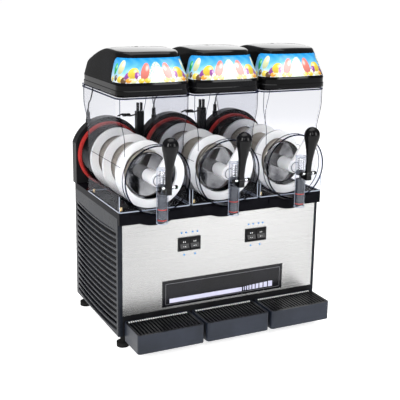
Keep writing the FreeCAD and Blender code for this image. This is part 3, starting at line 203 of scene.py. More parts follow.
def freezing_steel(name):
    """The freezing drum: a warm satin barrel with a mirror-polished end, whose near-black colour paints the
    dark reflection the end shows.
    """
    material, tree, bsdf = shader(name)
    setting(bsdf, metal=1.0)
    where = tree.nodes.new("ShaderNodeTexCoord")
    parts = tree.nodes.new("ShaderNodeSeparateXYZ")
    tree.links.new(where.outputs["Object"], parts.inputs[0])
    end_depth, barrel_depth = 40.6, 43
    barrel = spread(tree, parts.outputs["Y"], 0.0, 1.0, deep(end_depth), deep(barrel_depth))
    streaks = noise(tree, 1, (30, 3, 30), 3)
    satin = blend_colors(tree, spread(tree, streaks, 0.0, 1.0), (0.26, 0.225, 0.18), (0.46, 0.42, 0.36))
    mottle = spread(tree, noise(tree, 26, (1, 1, 1), 2), 0.0, 1.0)
    # The polished end's near-black tones: painted dark reflection.
    mirror = blend_colors(tree, mottle, (0.05, 0.05, 0.055), (0.22, 0.22, 0.22))
    tree.links.new(blend_colors(tree, barrel, mirror, satin), bsdf.inputs["Base Color"])
    tree.links.new(spread(tree, barrel, 0.08, 0.34, 0.0, 1.0), bsdf.inputs["Roughness"])
    return material


STAINLESS = brushed("brushed_stainless", (0.346, 0.345, 0.344), (0.370, 0.369, 0.367), (0.26, 0.28),
                    (1.2, 700, 700), 0.001, 0.85)
POLISHED = freezing_steel("polished_stainless")
MACHINED = brushed("machined_steel", (0.45, 0.45, 0.46), (0.70, 0.70, 0.71), (0.16, 0.28),
                   (300, 300, 300), 0.03)
# Dark grey metal: partly its own tone, and for the fan shroud inside the cabinet also painted shade, so it
# reads dark through the side slots.
GALVANISED = brushed("galvanised", (0.10, 0.10, 0.11), (0.20, 0.20, 0.21), (0.4, 0.6),
                     (40, 40, 40), 0.03)
# Near black: painted shade, so the cabinet's inside reads dark through the side slots.
FINS = moulded("fin_painted_shade", (0.004, 0.004, 0.005), (0.010, 0.010, 0.011), (0.5, 0.6),
               500, 0.2, specular=0.08)
COPPER = brushed("copper", (0.55, 0.24, 0.13), (0.78, 0.40, 0.24), (0.18, 0.32), (50, 50, 50), 0.02)
CHROME = brushed("chrome", (0.62, 0.63, 0.65), (0.82, 0.83, 0.85), (0.04, 0.09), (80, 80, 80), 0.005)
LOUVRE = moulded("louvre_black", (0.005, 0.006, 0.009), (0.012, 0.014, 0.019), (0.22, 0.32),
                 500, 0.02, specular=0.07)
BLACK_STEEL = moulded("black_powder_coat", (0.005, 0.005, 0.006), (0.010, 0.010, 0.011), (0.36, 0.46),
                      900, 0.05, specular=0.05)
DECK = moulded("deck_gloss", (0.002, 0.002, 0.003), (0.005, 0.005, 0.007), (0.08, 0.16),
               400, 0.01, specular=0.015)
BLACK_PLASTIC = moulded("black_plastic", (0.004, 0.004, 0.005), (0.009, 0.009, 0.010), (0.28, 0.38),
                        700, 0.03, specular=0.08)
GLOSS_BLACK = moulded("gloss_black", (0.002, 0.002, 0.002), (0.004, 0.004, 0.005), (0.05, 0.09),
                      300, 0.003, specular=0.13)
TRAY = moulded("tray_charcoal", (0.008, 0.0105, 0.017), (0.015, 0.019, 0.030), (0.30, 0.42),
               800, 0.04, specular=0.22)
WHITE = moulded("white_plastic", (0.80, 0.79, 0.77), (0.88, 0.875, 0.865), (0.34, 0.44),
                400, 0.02, skin=0.05)
CORAL = moulded("coral_silicone", (0.36, 0.022, 0.020), (0.50, 0.040, 0.034), (0.3, 0.42),
                300, 0.03, specular=0.3)
RUBBER = moulded("rubber", (0.004, 0.004, 0.004), (0.008, 0.008, 0.008), (0.6, 0.78),
                 500, 0.12, specular=0.12)
COMPRESSOR = moulded("compressor_black", (0.008, 0.008, 0.009), (0.018, 0.018, 0.020), (0.22, 0.35),
                     300, 0.05, specular=0.22)
PISTON = moulded("piston_grey", (0.035, 0.040, 0.050), (0.060, 0.066, 0.080), (0.2, 0.3),
                 300, 0.02, specular=0.5)
BADGE = moulded("badge_black", (0.003, 0.003, 0.004), (0.007, 0.007, 0.010), (0.12, 0.2),
                200, 0.01, specular=0.2)
CLEAR = clear_plastic("clear_polycarbonate", (0.948, 0.950, 0.961), (0.04, 0.045, 0.07))
# Smoky clear plastic for the bowls' thick edges and lines: painted shade for the dark look of clear edges.
CLEAR_PAINTED_SHADE = clear_plastic("clear_painted_shade", (0.22, 0.24, 0.32), (0.02, 0.02, 0.04), 0.03)
# Pale opaque blue-grey: painted highlight for the bright lines along clear edges.
PAINTED_GLINT = moulded("painted_edge_glint", (0.20, 0.23, 0.30), (0.32, 0.36, 0.44), (0.08, 0.16),
                300, 0.01, specular=0.6)
LAVENDER = moulded("lavender_print", (0.50, 0.50, 0.66), (0.60, 0.60, 0.75), (0.25, 0.35), 300, 0.01)
LENS = moulded("blue_lens", (0.0, 0.14, 0.45), (0.01, 0.24, 0.62), (0.2, 0.3), 300, 0.01, specular=0.2)
BRASS = brushed("brass", (0.55, 0.42, 0.22), (0.78, 0.62, 0.36), (0.15, 0.3), (80, 80, 80), 0.01)
FILM = picture_film("graphic_film")

BY_NODE = {
    "levelling_feet": RUBBER, "chassis_base": BLACK_STEEL, "front_panel": STAINLESS,
    "left_side_panel": LOUVRE, "right_side_panel": LOUVRE, "top_deck": DECK,
    "rear_bulkhead": BLACK_PLASTIC, "rear_panel": BLACK_STEEL, "badge_plate": BADGE,
    "switch_housings": BLACK_PLASTIC, "compressor": COMPRESSOR, "condenser": FINS,
    "fan_shroud": GALVANISED, "fan_rotor": BLACK_PLASTIC, "refrigerant_lines": COPPER,
    "control_box": GALVANISED, "mains_inlet": BLACK_PLASTIC, "auger_gearmotors": GALVANISED,
    "bowl_gaskets": CORAL, "lamp_sockets": BLACK_PLASTIC,
}
BY_FAMILY = {
    "rocker": GLOSS_BLACK, "evaporator_drum": POLISHED, "auger": WHITE, "drive_shaft": MACHINED,
    "bowl": CLEAR, "tap_pin": CHROME, "tap_lever": GLOSS_BLACK, "tap_piston": PISTON,
    "tap_spring": CHROME, "lid_window": FILM, "lid": GLOSS_BLACK, "drip_tray": TRAY,
    "drip_grille": BLACK_PLASTIC,
}


def finish_of(name):
    """The material of a CAD node, by its own name or its family's."""
    if name in BY_NODE:
        return BY_NODE[name]
    family = max((f for f in BY_FAMILY if name.startswith(f + "_")), key=len)
    return BY_FAMILY[family]


for name, obj in NODES.items():
    for slot in obj.material_slots:
        slot.link = "OBJECT"
        slot.material = finish_of(name)
    if not obj.material_slots:
        obj.data.materials.append(finish_of(name))


# ---------------------------------------------------------------- mesh tools
def add_piece(name, verts, faces, material, body, slot_name, replaces=(), smooth=True):
    """A mesh piece that rides on a body and stands in for the CAD nodes it replaces."""
    mesh = bpy.data.meshes.new(name)
    mesh.from_pydata([tuple(v) for v in verts], [], faces)
    mesh.validate()
    tidy = bmesh.new()
    tidy.from_mesh(mesh)
    bmesh.ops.remove_doubles(tidy, verts=tidy.verts, dist=1e-6)
    bmesh.ops.recalc_face_normals(tidy, faces=tidy.faces)
    tidy.to_mesh(mesh)
    tidy.free()
    for polygon in mesh.polygons:
        polygon.use_smooth = smooth
    obj = bpy.data.objects.new(name, mesh)
    bpy.context.scene.collection.objects.link(obj)
    mesh.materials.append(material)
    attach(obj, body)
    for node in replaces:
        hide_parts(node)
    return obj


def turned(centre, profile, axis="z", count=32):
    """Verts and faces of a profile of (radius, height) pairs turned about an axis through a point."""
    frames = {"x": ((0, 1, 0), (0, 0, 1), (1, 0, 0)), "y": ((1, 0, 0), (0, 0, 1), (0, 1, 0)),
              "z": ((1, 0, 0), (0, 1, 0), (0, 0, 1))}
    u, v, w = (Vector(a) for a in frames[axis])
    verts, faces = [], []
    for radius, height in profile:
        for k in range(count):
            turn = 2 * math.pi * k / count
            verts.append(Vector(centre) + w * height + radius * (math.cos(turn) * u + math.sin(turn) * v))
    for ring in range(len(profile) - 1):
        for k in range(count):
            a, b = ring * count + k, ring * count + (k + 1) % count
            faces.append((a, b, b + count, a + count))
    if profile[0][0] > 0:
        faces.append(tuple(reversed(range(count))))
    if profile[-1][0] > 0:
        faces.append(tuple(range((len(profile) - 1) * count, len(profile) * count)))
    return verts, faces


def turned_ring(centre, profile, axis="z", count=64):
    """A closed section of (radius, height) pairs turned into a ring."""
    verts, faces = turned(centre, profile, axis, count)
    last = (len(profile) - 1) * count
    keep = faces[:(len(profile) - 1) * count]
    for k in range(count):
        keep.append((last + k, last + (k + 1) % count, (k + 1) % count, k))
    return verts, keep


def round_section(radius, height, wire, count=12):
    """A small circle of (radius, height) pairs, to be turned into a round bead."""
    turns = [2 * math.pi * k / count for k in range(count)]
    return [(radius + wire * math.cos(turn), height + wire * math.sin(turn)) for turn in turns]


def slab(low, high):
    """Verts and faces of a box between two corners."""
    verts = [(x, y, z) for x in (low[0], high[0]) for y in (low[1], high[1]) for z in (low[2], high[2])]
    return verts, [(0, 1, 3, 2), (4, 6, 7, 5), (0, 4, 5, 1), (2, 3, 7, 6), (0, 2, 6, 4), (1, 5, 7, 3)]


def merged(shapes):
    """Several (verts, faces) shapes as one."""
    verts, faces = [], []
    for more_verts, more_faces in shapes:
        start = len(verts)
        verts += [tuple(v) for v in more_verts]
        faces += [tuple(start + i for i in face) for face in more_faces]
    return verts, faces


def corner_arc(centre_x, centre_y, radius, start, count):
    """Points of a quarter circle that begins at an angle."""
    return [(centre_x + radius * math.cos(start + math.pi / 2 * k / count),
             centre_y + radius * math.sin(start + math.pi / 2 * k / count)) for k in range(count + 1)]


def between(start, end, parts):
    """The points that divide a straight run into equal parts, without its ends."""
    (ax, ay), (bx, by) = start, end
    return [(ax + (bx - ax) * k / parts, ay + (by - ay) * k / parts) for k in range(1, parts)]


def plan_outline(left, right, front, back, radius, count=12, side=8):
    """A rounded rectangle seen from above, anticlockwise from the front's left end."""
    corners = [(right - radius, front + radius, -math.pi / 2), (right - radius, back - radius, 0),
               (left + radius, back - radius, math.pi / 2), (left + radius, front + radius, math.pi)]
    points = []
    for x, y, start in corners:
        ring = corner_arc(x, y, radius, start, count)
        if points:
            points += between(points[-1], ring[0], side)
        points += ring
    return points + between(points[-1], points[0], side)


def grown(plan, by):
    """A plan with its sides and its corner radius moved outward."""
    left, right, front, back, radius = plan
    return left - by, right + by, front - by, back + by, radius + by


def ring_faces(rings, count, closed=False):
    """Faces between rings of count points each; closed also joins the last ring to the first."""
    faces = []
    for ring in range(rings - (0 if closed else 1)):
        for k in range(count):
            a, b = ring * count + k, ring * count + (k + 1) % count
            up = count if ring < rings - 1 else -ring * count
            faces.append((a, b, b + up, a + up))
    return faces


def smooth_tube(name, points, radius, material, body, slot_name, replaces=()):
    """A lead or wire that follows a smooth line through its control points."""
    curve = bpy.data.curves.new(name + "_line", "CURVE")
    curve.dimensions = "3D"
    spline = curve.splines.new("NURBS")
    spline.points.add(len(points) - 1)
    for point, place in zip(spline.points, points):
        point.co = (*place, 1)
    spline.order_u = 3
    spline.use_endpoint_u = True
    curve.resolution_u = 12
    curve.bevel_depth = radius
    curve.bevel_resolution = 4
    curve.use_fill_caps = True
    holder = bpy.data.objects.new(name + "_holder", curve)
    bpy.context.scene.collection.objects.link(holder)
    mesh = bpy.data.meshes.new_from_object(holder)
    bpy.data.objects.remove(holder)
    verts = [tuple(v.co) for v in mesh.vertices]
    faces = [tuple(p.vertices) for p in mesh.polygons]
    return add_piece(name, verts, faces, material, body, slot_name, replaces)


# ---------------------------------------------------------------- lids
# Lid sizes are in millimetres: depths from the front panel to the rear, heights from the floor.
# A plan is its left, right, front, back and corner radius.
RIM_TOP, CROWN_Z = 690, 782
BASE_PLAN = (-98, 98, -19, 279, 34)
CROWN_PLAN = (-79, 79, 24, 262, 42)
LIP_PLAN = (-98, 98, -8, 280, 22)
WINDOW_LOW, WINDOW_HIGH, WINDOW_END = 696, 754, 47
# The roof line: (depth, height) where its stretches meet, the slopes of its ends, and the arcs' radii.
BROW, RIDGE, NAPE = (24, 768), (128, 772), (266, 718)
BROW_SLOPE, NAPE_SLOPE = 8 / 63, 22 / 33
BROW_RADIUS, RIDGE_RADIUS = 900, 330
DOME_DROP = 2.2
# The front is bowed forward by BOW_LOW at the rim and by BOW_MORE beyond that at BOW_CLIMB above it.
BOW_LOW, BOW_MORE, BOW_CLIMB, BOW_END = 2, 11, 60, 110
HOOD_MIDDLE, EAVE_ROUNDING = (0, 140), 7.0
SIDE_STEPS, EAVE_STEPS, ROOF_STEPS = 6, 6, 9


def bulge(y, start, end, radius):
    """Height of a shallow arc of a circle between two points of the roof line."""
    chord = math.dist(start, end)
    along = (y - start[0]) / (end[0] - start[0])
    straight = start[1] + along * (end[1] - start[1])
    offset = (along - 0.5) * chord
    rise = math.sqrt(radius ** 2 - offset ** 2) - math.sqrt(radius ** 2 - chord ** 2 / 4)
    return straight + rise * (end[0] - start[0]) / chord


def roof(x, y):
    """Height of the lid's top over a point of its plan: it domes slightly across."""
    dome = -DOME_DROP * (x / CROWN_PLAN[1]) ** 2
    if y <= BROW[0]:
        return BROW[1] + (y - BROW[0]) * BROW_SLOPE + dome
    if y <= RIDGE[0]:
        return bulge(y, BROW, RIDGE, BROW_RADIUS) + dome
    if y <= NAPE[0]:
        return bulge(y, RIDGE, NAPE, RIDGE_RADIUS) + dome
    return NAPE[1] - (y - NAPE[0]) * NAPE_SLOPE + dome


def bowed(x, y, z):
    """The depth of a point of the lid once its front is bowed forward, most of all near the top."""
    rise = min(max((z - RIM_TOP) / BOW_CLIMB, 0.0), 1.0)
    near = min(max((BOW_END - y) / BOW_END, 0.0), 1.0)
    return y - (BOW_LOW + BOW_MORE * rise) * near * (1 - (x / BASE_PLAN[1]) ** 2)


def side_point(base, crown, t):
    """A point on the lid's tapering side, from the rim at 0 to the crown plan at 1."""
    x, y = (b + (c - b) * t for b, c in zip(base, crown))
    return x, y, RIM_TOP + (CROWN_Z - RIM_TOP) * t


def eave(base, crown):
    """How far up the tapering side the roof is met."""
    low, high = 0.0, 1.0
    for _ in range(30):
        t = (low + high) / 2
        x, y, z = side_point(base, crown, t)
        low, high = (t, high) if z < roof(x, y) else (low, t)
    return low


def hood_column(low, high):
    """Points from the rim up the side, round the eave and over the roof almost to its middle."""
    top = eave(low, high)
    edge = side_point(low, high, top)
    climb = math.dist(side_point(low, high, 0), edge)
    reach = math.dist(edge[:2], HOOD_MIDDLE)
    bend = top * (1 - min(EAVE_ROUNDING / climb, 0.6))
    start = side_point(low, high, bend)
    inward = [edge[i] + (HOOD_MIDDLE[i] - edge[i]) * EAVE_ROUNDING / reach for i in (0, 1)]
    inward.append(roof(*inward))
    column = [side_point(low, high, bend * k / SIDE_STEPS) for k in range(SIDE_STEPS)]
    for k in range(EAVE_STEPS + 1):
        s = k / EAVE_STEPS
        column.append(tuple((1 - s) ** 2 * start[i] + 2 * s * (1 - s) * edge[i] + s * s * inward[i]
                            for i in range(3)))
    for k in range(1, ROOF_STEPS):
        s = k / ROOF_STEPS
        px, py = (inward[i] + (HOOD_MIDDLE[i] - inward[i]) * s for i in (0, 1))
        column.append((px, py, roof(px, py)))
    return column


def hood(tag, x):
    """The lid's glossy hood: tapering sides, a rounded eave and a domed roof, over a stepped rim."""
    columns = [hood_column(*pair) for pair in zip(plan_outline(*BASE_PLAN), plan_outline(*CROWN_PLAN))]
    count, rings = len(columns), len(columns[0])
    verts = [columns[k][ring] for ring in range(rings) for k in range(count)]
    faces = ring_faces(rings, count)
    verts.append((*HOOD_MIDDLE, roof(*HOOD_MIDDLE)))
    last = (rings - 1) * count
    faces += [(last + k, last + (k + 1) % count, len(verts) - 1) for k in range(count)]
    # The stepped rim, as growth beyond the base plan and height, closed by a shallow ceiling.
    rim = [(-9, RIM_TOP), (-1.5, RIM_TOP), (-0.8, 689.2), (-0.8, 677.0), (0.0, 676.2), (0.8, 675.2),
           (0.8, 665.6), (0.2, 665.1), (-9, 665.1)]
    start = len(verts)
    for grow, z in rim:
        verts += [(px, py, z) for px, py in plan_outline(*grown(BASE_PLAN, grow))]
    faces += [tuple(start + i for i in face) for face in ring_faces(len(rim), count)]
    inner = start + (len(rim) - 1) * count
    verts.append((0, 130, 668))
    faces += [(inner + k, inner + (k + 1) % count, len(verts) - 1) for k in range(count)]
    pip = turned((0, 118, 0), [(5.2, 766), (5.0, 771.5), (4.2, 772.7), (0.001, 773)], "z", 20)
    verts, faces = merged([(verts, faces), pip])
    placed = [(x + px * MM, deep(bowed(px, py, pz)), pz * MM) for px, py, pz in verts]
    obj = add_piece(f"hood_{tag}", placed, faces, GLOSS_BLACK, f"lid_{tag}", "gloss_black", (f"lid_{tag}",))
    obj.data.set_sharp_from_angle(angle=math.radians(38))
    spigot = [(-4.2, 665.5), (-4.2, 659.5), (-6.6, 659.5), (-6.6, 665.5)]
    ring_verts = []
    for grow, z in spigot:
        ring = plan_outline(*grown(LIP_PLAN, grow))
        ring_verts += [(x + px * MM, deep(py), z * MM) for px, py in ring]
    add_piece(f"lid_spigot_{tag}", ring_verts, ring_faces(len(spigot), count, True), BLACK_PLASTIC,
              f"lid_{tag}", "gloss_black", (), False)


# The picture in the lid's window: plain balls and balloons under a sky, with a pale heap in the middle.
SKY_TOP, SKY_MID, SKY_LOW = (0.01, 0.30, 0.74), (0.16, 0.55, 0.88), (0.80, 0.90, 0.98)
GREEN, LEAF, LEMON, YOLK = (0.05, 0.52, 0.14), (0.35, 0.72, 0.42), (0.86, 0.87, 0.50), (0.93, 0.70, 0.08)
PINK, PLUM, ORANGE, CREAM = (0.90, 0.27, 0.22), (0.35, 0.08, 0.38), (0.92, 0.42, 0.06), (0.96, 0.95, 0.86)
MINT, BROWN = (0.62, 0.88, 0.68), (0.16, 0.09, 0.05)
HAZE_TOP = 0.55
HEAP_TOP, HEAP_HALF, HEAP_CURVE = 745, 30, 0.045
HEAP_COLORS = ((0.45, LEAF), (0.05, MINT), (-0.45, CREAM), (-2.0, LEMON))
FILM_HALF, FILM_CORNER = 149, 16
# Each ball: along the film from its middle, height, half-width, half-height, lean and colour, in
# millimetres. Each one is mirrored about the middle, the outer ones a little nearer to it.
OUTER_BALLS, NEARER = 100, 4
BALLS = (
    (126, 727, 6.5, 14, 0.0, GREEN), (126, 706, 1.2, 10, 0.0, GREEN), (106, 732, 9.5, 17, 0.05, LEMON),
    (106, 710, 1.1, 9, 0.0, LEAF), (117, 706, 6, 8, 0.0, BROWN), (135, 703, 6, 6, 0.0, YOLK),
    (101, 704, 9, 8, 0.0, YOLK), (90, 702, 8, 8, 0.0, BROWN), (83, 713, 7, 9, 0.3, PLUM),
    (68, 719, 15, 13, 0.0, YOLK), (55, 711, 8, 11, -0.4, PLUM), (48, 705, 7, 8, 0.0, CREAM),
    (34, 722, 13, 21, 0.12, PINK), (34, 701, 1.2, 6, 0.0, PINK), (43, 701, 8, 6, 0.0, YOLK),
    (64, 701, 9, 6, 0.0, LEMON), (26, 701, 8, 5.5, 0.0, YOLK), (77, 702, 7, 6, 0.0, ORANGE),
)


def film_color(a, z):
    """The picture's colour at a distance along the film and a height, in millimetres."""
    t = (z - WINDOW_LOW) / (WINDOW_HIGH - WINDOW_LOW)
    ripple = 0.06 * math.sin(a * 0.19 + 2.0 * math.sin(z * 0.21))
    t = min(max(t + ripple, 0.0), 1.0)
    if t < HAZE_TOP:
        low, high, share = SKY_LOW, SKY_MID, t / HAZE_TOP
    else:
        low, high, share = SKY_MID, SKY_TOP, (t - HAZE_TOP) / (1 - HAZE_TOP)
    color = [low[i] + (high[i] - low[i]) * share for i in range(3)]
    if z < HEAP_TOP - HEAP_CURVE * a * a and abs(a) < HEAP_HALF:
        cell = math.sin(a * 0.62 + 1.3 * math.sin(z * 0.35)) * math.cos(z * 0.55 + math.sin(a * 0.3))
        pick = next(paint for limit, paint in HEAP_COLORS if cell > limit)
        color = [0.15 * c + 0.85 * p for c, p in zip(color, pick)]
    for along, height, wide, tall, lean, paint in BALLS:
        da = (abs(a) - along) + lean * (z - height)
        if a > 0 and along > OUTER_BALLS:
            da += NEARER
        reach = (da / wide) ** 2 + ((z - height) / tall) ** 2
        if reach < 1:
            aside = (da + 0.35 * wide) / (0.5 * wide)
            above = (z - height - 0.4 * tall) / (0.4 * tall)
            glint = max(0.0, 1 - aside ** 2 - above ** 2)
            shade = 0.80 + 0.25 * (z - height) / tall
            color = [min(1.0, p * shade + 0.45 * glint) for p in paint]
    return color


def window_path(z, count):
    """Points and outward directions along the lid's side at one height, from the window's left rear
    end round to its right one."""
    t = (z - RIM_TOP) / (CROWN_Z - RIM_TOP)
    left, right, front, back, radius = (b + (c - b) * t for b, c in zip(BASE_PLAN, CROWN_PLAN))
    straight = WINDOW_END - front - radius
    bend = radius * math.pi / 2
    across = right - left - 2 * radius
    total = 2 * straight + 2 * bend + across
    points = []
    for k in range(count + 1):
        s = total * k / count
        if s < straight:
            points.append((left, WINDOW_END - s, -1, 0))
        elif s < straight + bend:
            turn = (s - straight) / radius
            points.append((left + radius - radius * math.cos(turn), front + radius - radius * math.sin(turn),
                           -math.cos(turn), -math.sin(turn)))
        elif s < straight + bend + across:
            points.append((left + radius + s - straight - bend, front, 0, -1))
        elif s < straight + 2 * bend + across:
            turn = (s - straight - bend - across) / radius
            points.append((right - radius + radius * math.sin(turn),
                           front + radius - radius * math.cos(turn), math.sin(turn), -math.cos(turn)))
        else:
            points.append((right, front + radius + s - straight - 2 * bend - across, 1, 0))
    return points


def film(tag, x):
    """The backlit picture behind the lid's clear window, wrapped round the front."""
    across, up, proud = 288, 58, 0.5
    verts, colors = [], []
    rows = [window_path(WINDOW_LOW + (WINDOW_HIGH - WINDOW_LOW) * row / up, across) for row in range(up + 1)]
    for row in range(up + 1):
        for column in range(across + 1):
            a = (2 * column / across - 1) * FILM_HALF
            near = FILM_HALF - abs(a)
            trim = 0.0
            if near < FILM_CORNER:
                trim = FILM_CORNER - math.sqrt(FILM_CORNER ** 2 - (FILM_CORNER - near) ** 2)
            z = WINDOW_LOW + trim + (WINDOW_HIGH - WINDOW_LOW - 2 * trim) * row / up
            height = (z - WINDOW_LOW) / (WINDOW_HIGH - WINDOW_LOW) * up
            below = min(int(height), up - 1)
            low, high = rows[below][column], rows[below + 1][column]
            px, py, nx, ny = (p + (q - p) * (height - below) for p, q in zip(low, high))
            verts.append((x + (px + nx * proud) * MM, deep(bowed(px, py + ny * proud, z)), (z + 0.1) * MM))
            colors.append((*film_color(a, z), 1.0))
    faces = []
    width = across + 1
    for row in range(up):
        for column in range(across):
            a = row * width + column
            faces.append((a, a + 1, a + 1 + width, a + width))
    mesh = bpy.data.meshes.new(f"window_film_{tag}")
    mesh.from_pydata(verts, [], faces)
    paint = mesh.color_attributes.new("picture", "FLOAT_COLOR", "POINT")
    for entry, color in zip(paint.data, colors):
        entry.color = color
    for polygon in mesh.polygons:
        polygon.use_smooth = True
    obj = bpy.data.objects.new(f"window_film_{tag}", mesh)
    bpy.context.scene.collection.objects.link(obj)
    mesh.materials.append(FILM)
    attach(obj, f"lid_{tag}")
    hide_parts(f"lid_window_{tag}")


def lamp_lead(tag, x):
    """The lead from the lid's lamp down to its plug over the bay's socket."""
    side = x - 56 * MM
    points = [(side, deep(276), 0.681), (side, deep(288), 0.680), (side, deep(296), 0.664),
              (side, deep(302), 0.640), (side, deep(318), 0.616), (side + 0.004, deep(336), 0.606),
              (side + 0.002, deep(346), 0.598), (side, deep(347), 0.575)]
    smooth_tube(f"lamp_lead_{tag}", points, 0.0018, BLACK_PLASTIC, f"lid_{tag}", "gloss_black",
                (f"lid_{tag}",))
    profile = [(0.001, 0.579), (2.4 * MM, 0.579), (2.8 * MM, 0.573), (5.2 * MM, 0.571), (5.5 * MM, 0.570),
               (5.5 * MM, 0.5535), (5.0 * MM, 0.5528), (0.001, 0.5528)]
    plug = add_piece(f"lamp_plug_{tag}", *turned((side, deep(347), 0), profile), BLACK_PLASTIC,
                     f"lid_{tag}", "gloss_black")
    plug.data.set_sharp_from_angle(angle=math.radians(40))


# ---------------------------------------------------------------- taps
TAP_DEPTH = -53.4
PIVOT_DEPTH, PIVOT_Z = -89, 0.447
SPRING_LOW, SPRING_HIGH, SPRING_STOP, SPRING_KEEP = 0.4475, 0.4828, 0.484, 0.53
SEAL_HEIGHTS = (356.1, 383.6)


def pivot_pin(tag, x):
    """The pull handle's pin, with a rounded cap and a collar at each end."""
    pivot = (x, deep(PIVOT_DEPTH), PIVOT_Z)
    shank = turned(pivot, [(3 * MM, -20 * MM), (3 * MM, 20 * MM)], "x", 24)
    pin = add_piece(f"pin_shank_{tag}", *shank, CHROME, f"bowl_{tag}", "machined_steel", (f"tap_pin_{tag}",))
    pin.data.set_sharp_from_angle(angle=math.radians(40))
    for number, side in enumerate((-1, 1)):
        profile = [(4.0 * MM, 17.6 * MM), (5.0 * MM, 18.4 * MM), (5.0 * MM, 23.2 * MM),
                   (3.6 * MM, 24.8 * MM), (0.001 * MM, 25.0 * MM)]
        verts, faces = turned(pivot, [(r, side * h) for r, h in profile], "x", 24)
        cap = add_piece(f"pin_cap_{tag}_{number + 1}", verts, faces, GLOSS_BLACK, f"bowl_{tag}",
                        "gloss_black")
        cap.data.set_sharp_from_angle(angle=math.radians(50))
        collar = turned(pivot, [(4.6 * MM, side * 12.6 * MM), (4.6 * MM, side * 14.4 * MM)], "x", 24)
        add_piece(f"pin_collar_{tag}_{number + 1}", *collar, CHROME, f"bowl_{tag}", "machined_steel", (),
                  False)


def valve_spring(tag, x):
    """The coil over the piston, which is squeezed against the top of the tube when the piston lifts; this
    coil is built once, at rest, on the bowl.
    """
    turns, steps, sides, radius, wire = 6, 20, 8, 8.5 * MM, 1.1 * MM
    centre_y, up = deep(TAP_DEPTH), Vector((0, 0, 1))
    total = turns * steps
    verts, faces = [], []
    for k in range(total + 1):
        turn = 2 * math.pi * k / steps
        out = Vector((math.cos(turn), math.sin(turn), 0))
        height = SPRING_LOW + (SPRING_HIGH - SPRING_LOW) * k / total
        point = Vector((x, centre_y, height)) + radius * out
        for j in range(sides):
            around = 2 * math.pi * j / sides
            verts.append(point + wire * (math.cos(around) * out + math.sin(around) * up))
    for k in range(total):
        for j in range(sides):
            a, b = k * sides + j, k * sides + (j + 1) % sides
            faces.append((a, b, b + sides, a + sides))
    faces += [tuple(reversed(range(sides))), tuple(range(total * sides, (total + 1) * sides))]
    coil = add_piece(f"spring_coil_{tag}", verts, faces, CHROME, f"bowl_{tag}", "machined_steel",
                     (f"tap_spring_{tag}",))
    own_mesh(coil)


def piston_seals(tag, x):
    """The two seal rings in the piston's grooves."""
    for number, height in enumerate(SEAL_HEIGHTS):
        section = round_section(11.0 * MM, height * MM, 1.35 * MM)
        ring = turned_ring((x, deep(TAP_DEPTH), 0), section, "z", 48)
        add_piece(f"piston_seal_{tag}_{number + 1}", *ring, CORAL, f"piston_{tag}", "coral_seal")


# ---------------------------------------------------------------- bowls
TROUGH_Z = 0.451
# The hopper, in millimetres: heights of its first bead level and of its flare, and its half-widths.
HOPPER_LOW, HOPPER_STEP, HOPPER_LEVELS = 512, 6, 25
FLARE_LOW, FLARE_HEIGHT = 545, 76
HOPPER_HALF, FLARE_OUT = 86, 12


def trough_rims(tag, x):
    """The thick rounded rims of the clear trough, tinted dark: painted shade for the dark look thick clear
    edges take against the light.
    """
    rims = []
    for depth, radius, wire, sides, count in ((-27.4, 88.0, 2.0, 10, 96), (-8, 88.6, 1.1, 8, 96),
                                              (-29, 13.4, 1.0, 8, 48)):
        section = round_section(radius * MM, 0, wire * MM, sides)
        rims.append(turned_ring((x, deep(depth), TROUGH_Z), section, "y", count))
    add_piece(f"nose_rim_{tag}", *merged(rims), CLEAR_PAINTED_SHADE, f"bowl_{tag}", "clear_polycarbonate")


def skirt_rim(tag, x):
    """Pale beads round the foot of the skirt and up its two front corners: painted highlights for the bright
    lines along its clear edges.
    """
    half, front, back = 97 * MM, deep(-8.5), deep(232)
    low, high, post_top = 0.3706, 0.3706 + 2.2 * MM, 0.414
    bead, post = 0.9 * MM, 0.8 * MM
    corners = [(x - half, front), (x + half, front), (x + half, back), (x - half, back)]
    rails = []
    for (ax, ay), (bx, by) in zip(corners, corners[1:] + corners[:1]):
        rails.append(slab((min(ax, bx) - bead, min(ay, by) - bead, low),
                          (max(ax, bx) + bead, max(ay, by) + bead, high)))
    for px in (x - half, x + half):
        rails.append(slab((px - post, front - post, low), (px + post, front + post, post_top)))
    add_piece(f"skirt_rim_{tag}", *merged(rails), PAINTED_GLINT, f"bowl_{tag}", "clear_polycarbonate", (), False)


def tube_rim(tag, x):
    """Pale rings at the foot and the top of the tap tube, and two thin pale strips down its sides: painted
    highlights for the tube's bright edges.
    """
    centre = (x, deep(TAP_DEPTH), 0)
    foot = turned_ring(centre, round_section(13.75 * MM, 0.3475, 1.3 * MM, 8), "z", 48)
    crest = turned_ring(centre, round_section(14.2 * MM, 0.4865, 1.0 * MM, 8), "z", 48)
    thin_strips = [slab((x + px * MM, deep(TAP_DEPTH - 0.5), 0.348),
                  (x + (px + 0.9) * MM, deep(TAP_DEPTH + 0.5), 0.486)) for px in (-15.4, 14.5)]
    add_piece(f"tube_rim_{tag}", *merged([foot, crest] + thin_strips), PAINTED_GLINT, f"bowl_{tag}",
              "clear_polycarbonate", (), False)


def lip_rim(tag, x):
    """Two beads round the clear lip that carries the lid, tinted dark: painted shade for the lip's dark edge
    lines.
    """
    reach, beads = 1.7, []
    for height, wire in ((657.0, 1.8), (663.6, 1.0)):
        outer = plan_outline(*grown(LIP_PLAN, reach))
        inner = plan_outline(*grown(LIP_PLAN, reach - wire)[:4], LIP_PLAN[4])
        rows = [(x + px * MM, deep(py), (height + dz) * MM) for dz in (-wire, wire) for px, py in outer]
        rows += [(x + px * MM, deep(py), (height + dz) * MM) for dz in (wire, -wire) for px, py in inner]
        beads.append((rows, ring_faces(4, len(outer), True)))
    add_piece(f"lip_rim_{tag}", *merged(beads), CLEAR_PAINTED_SHADE, f"bowl_{tag}", "clear_polycarbonate", (), False)


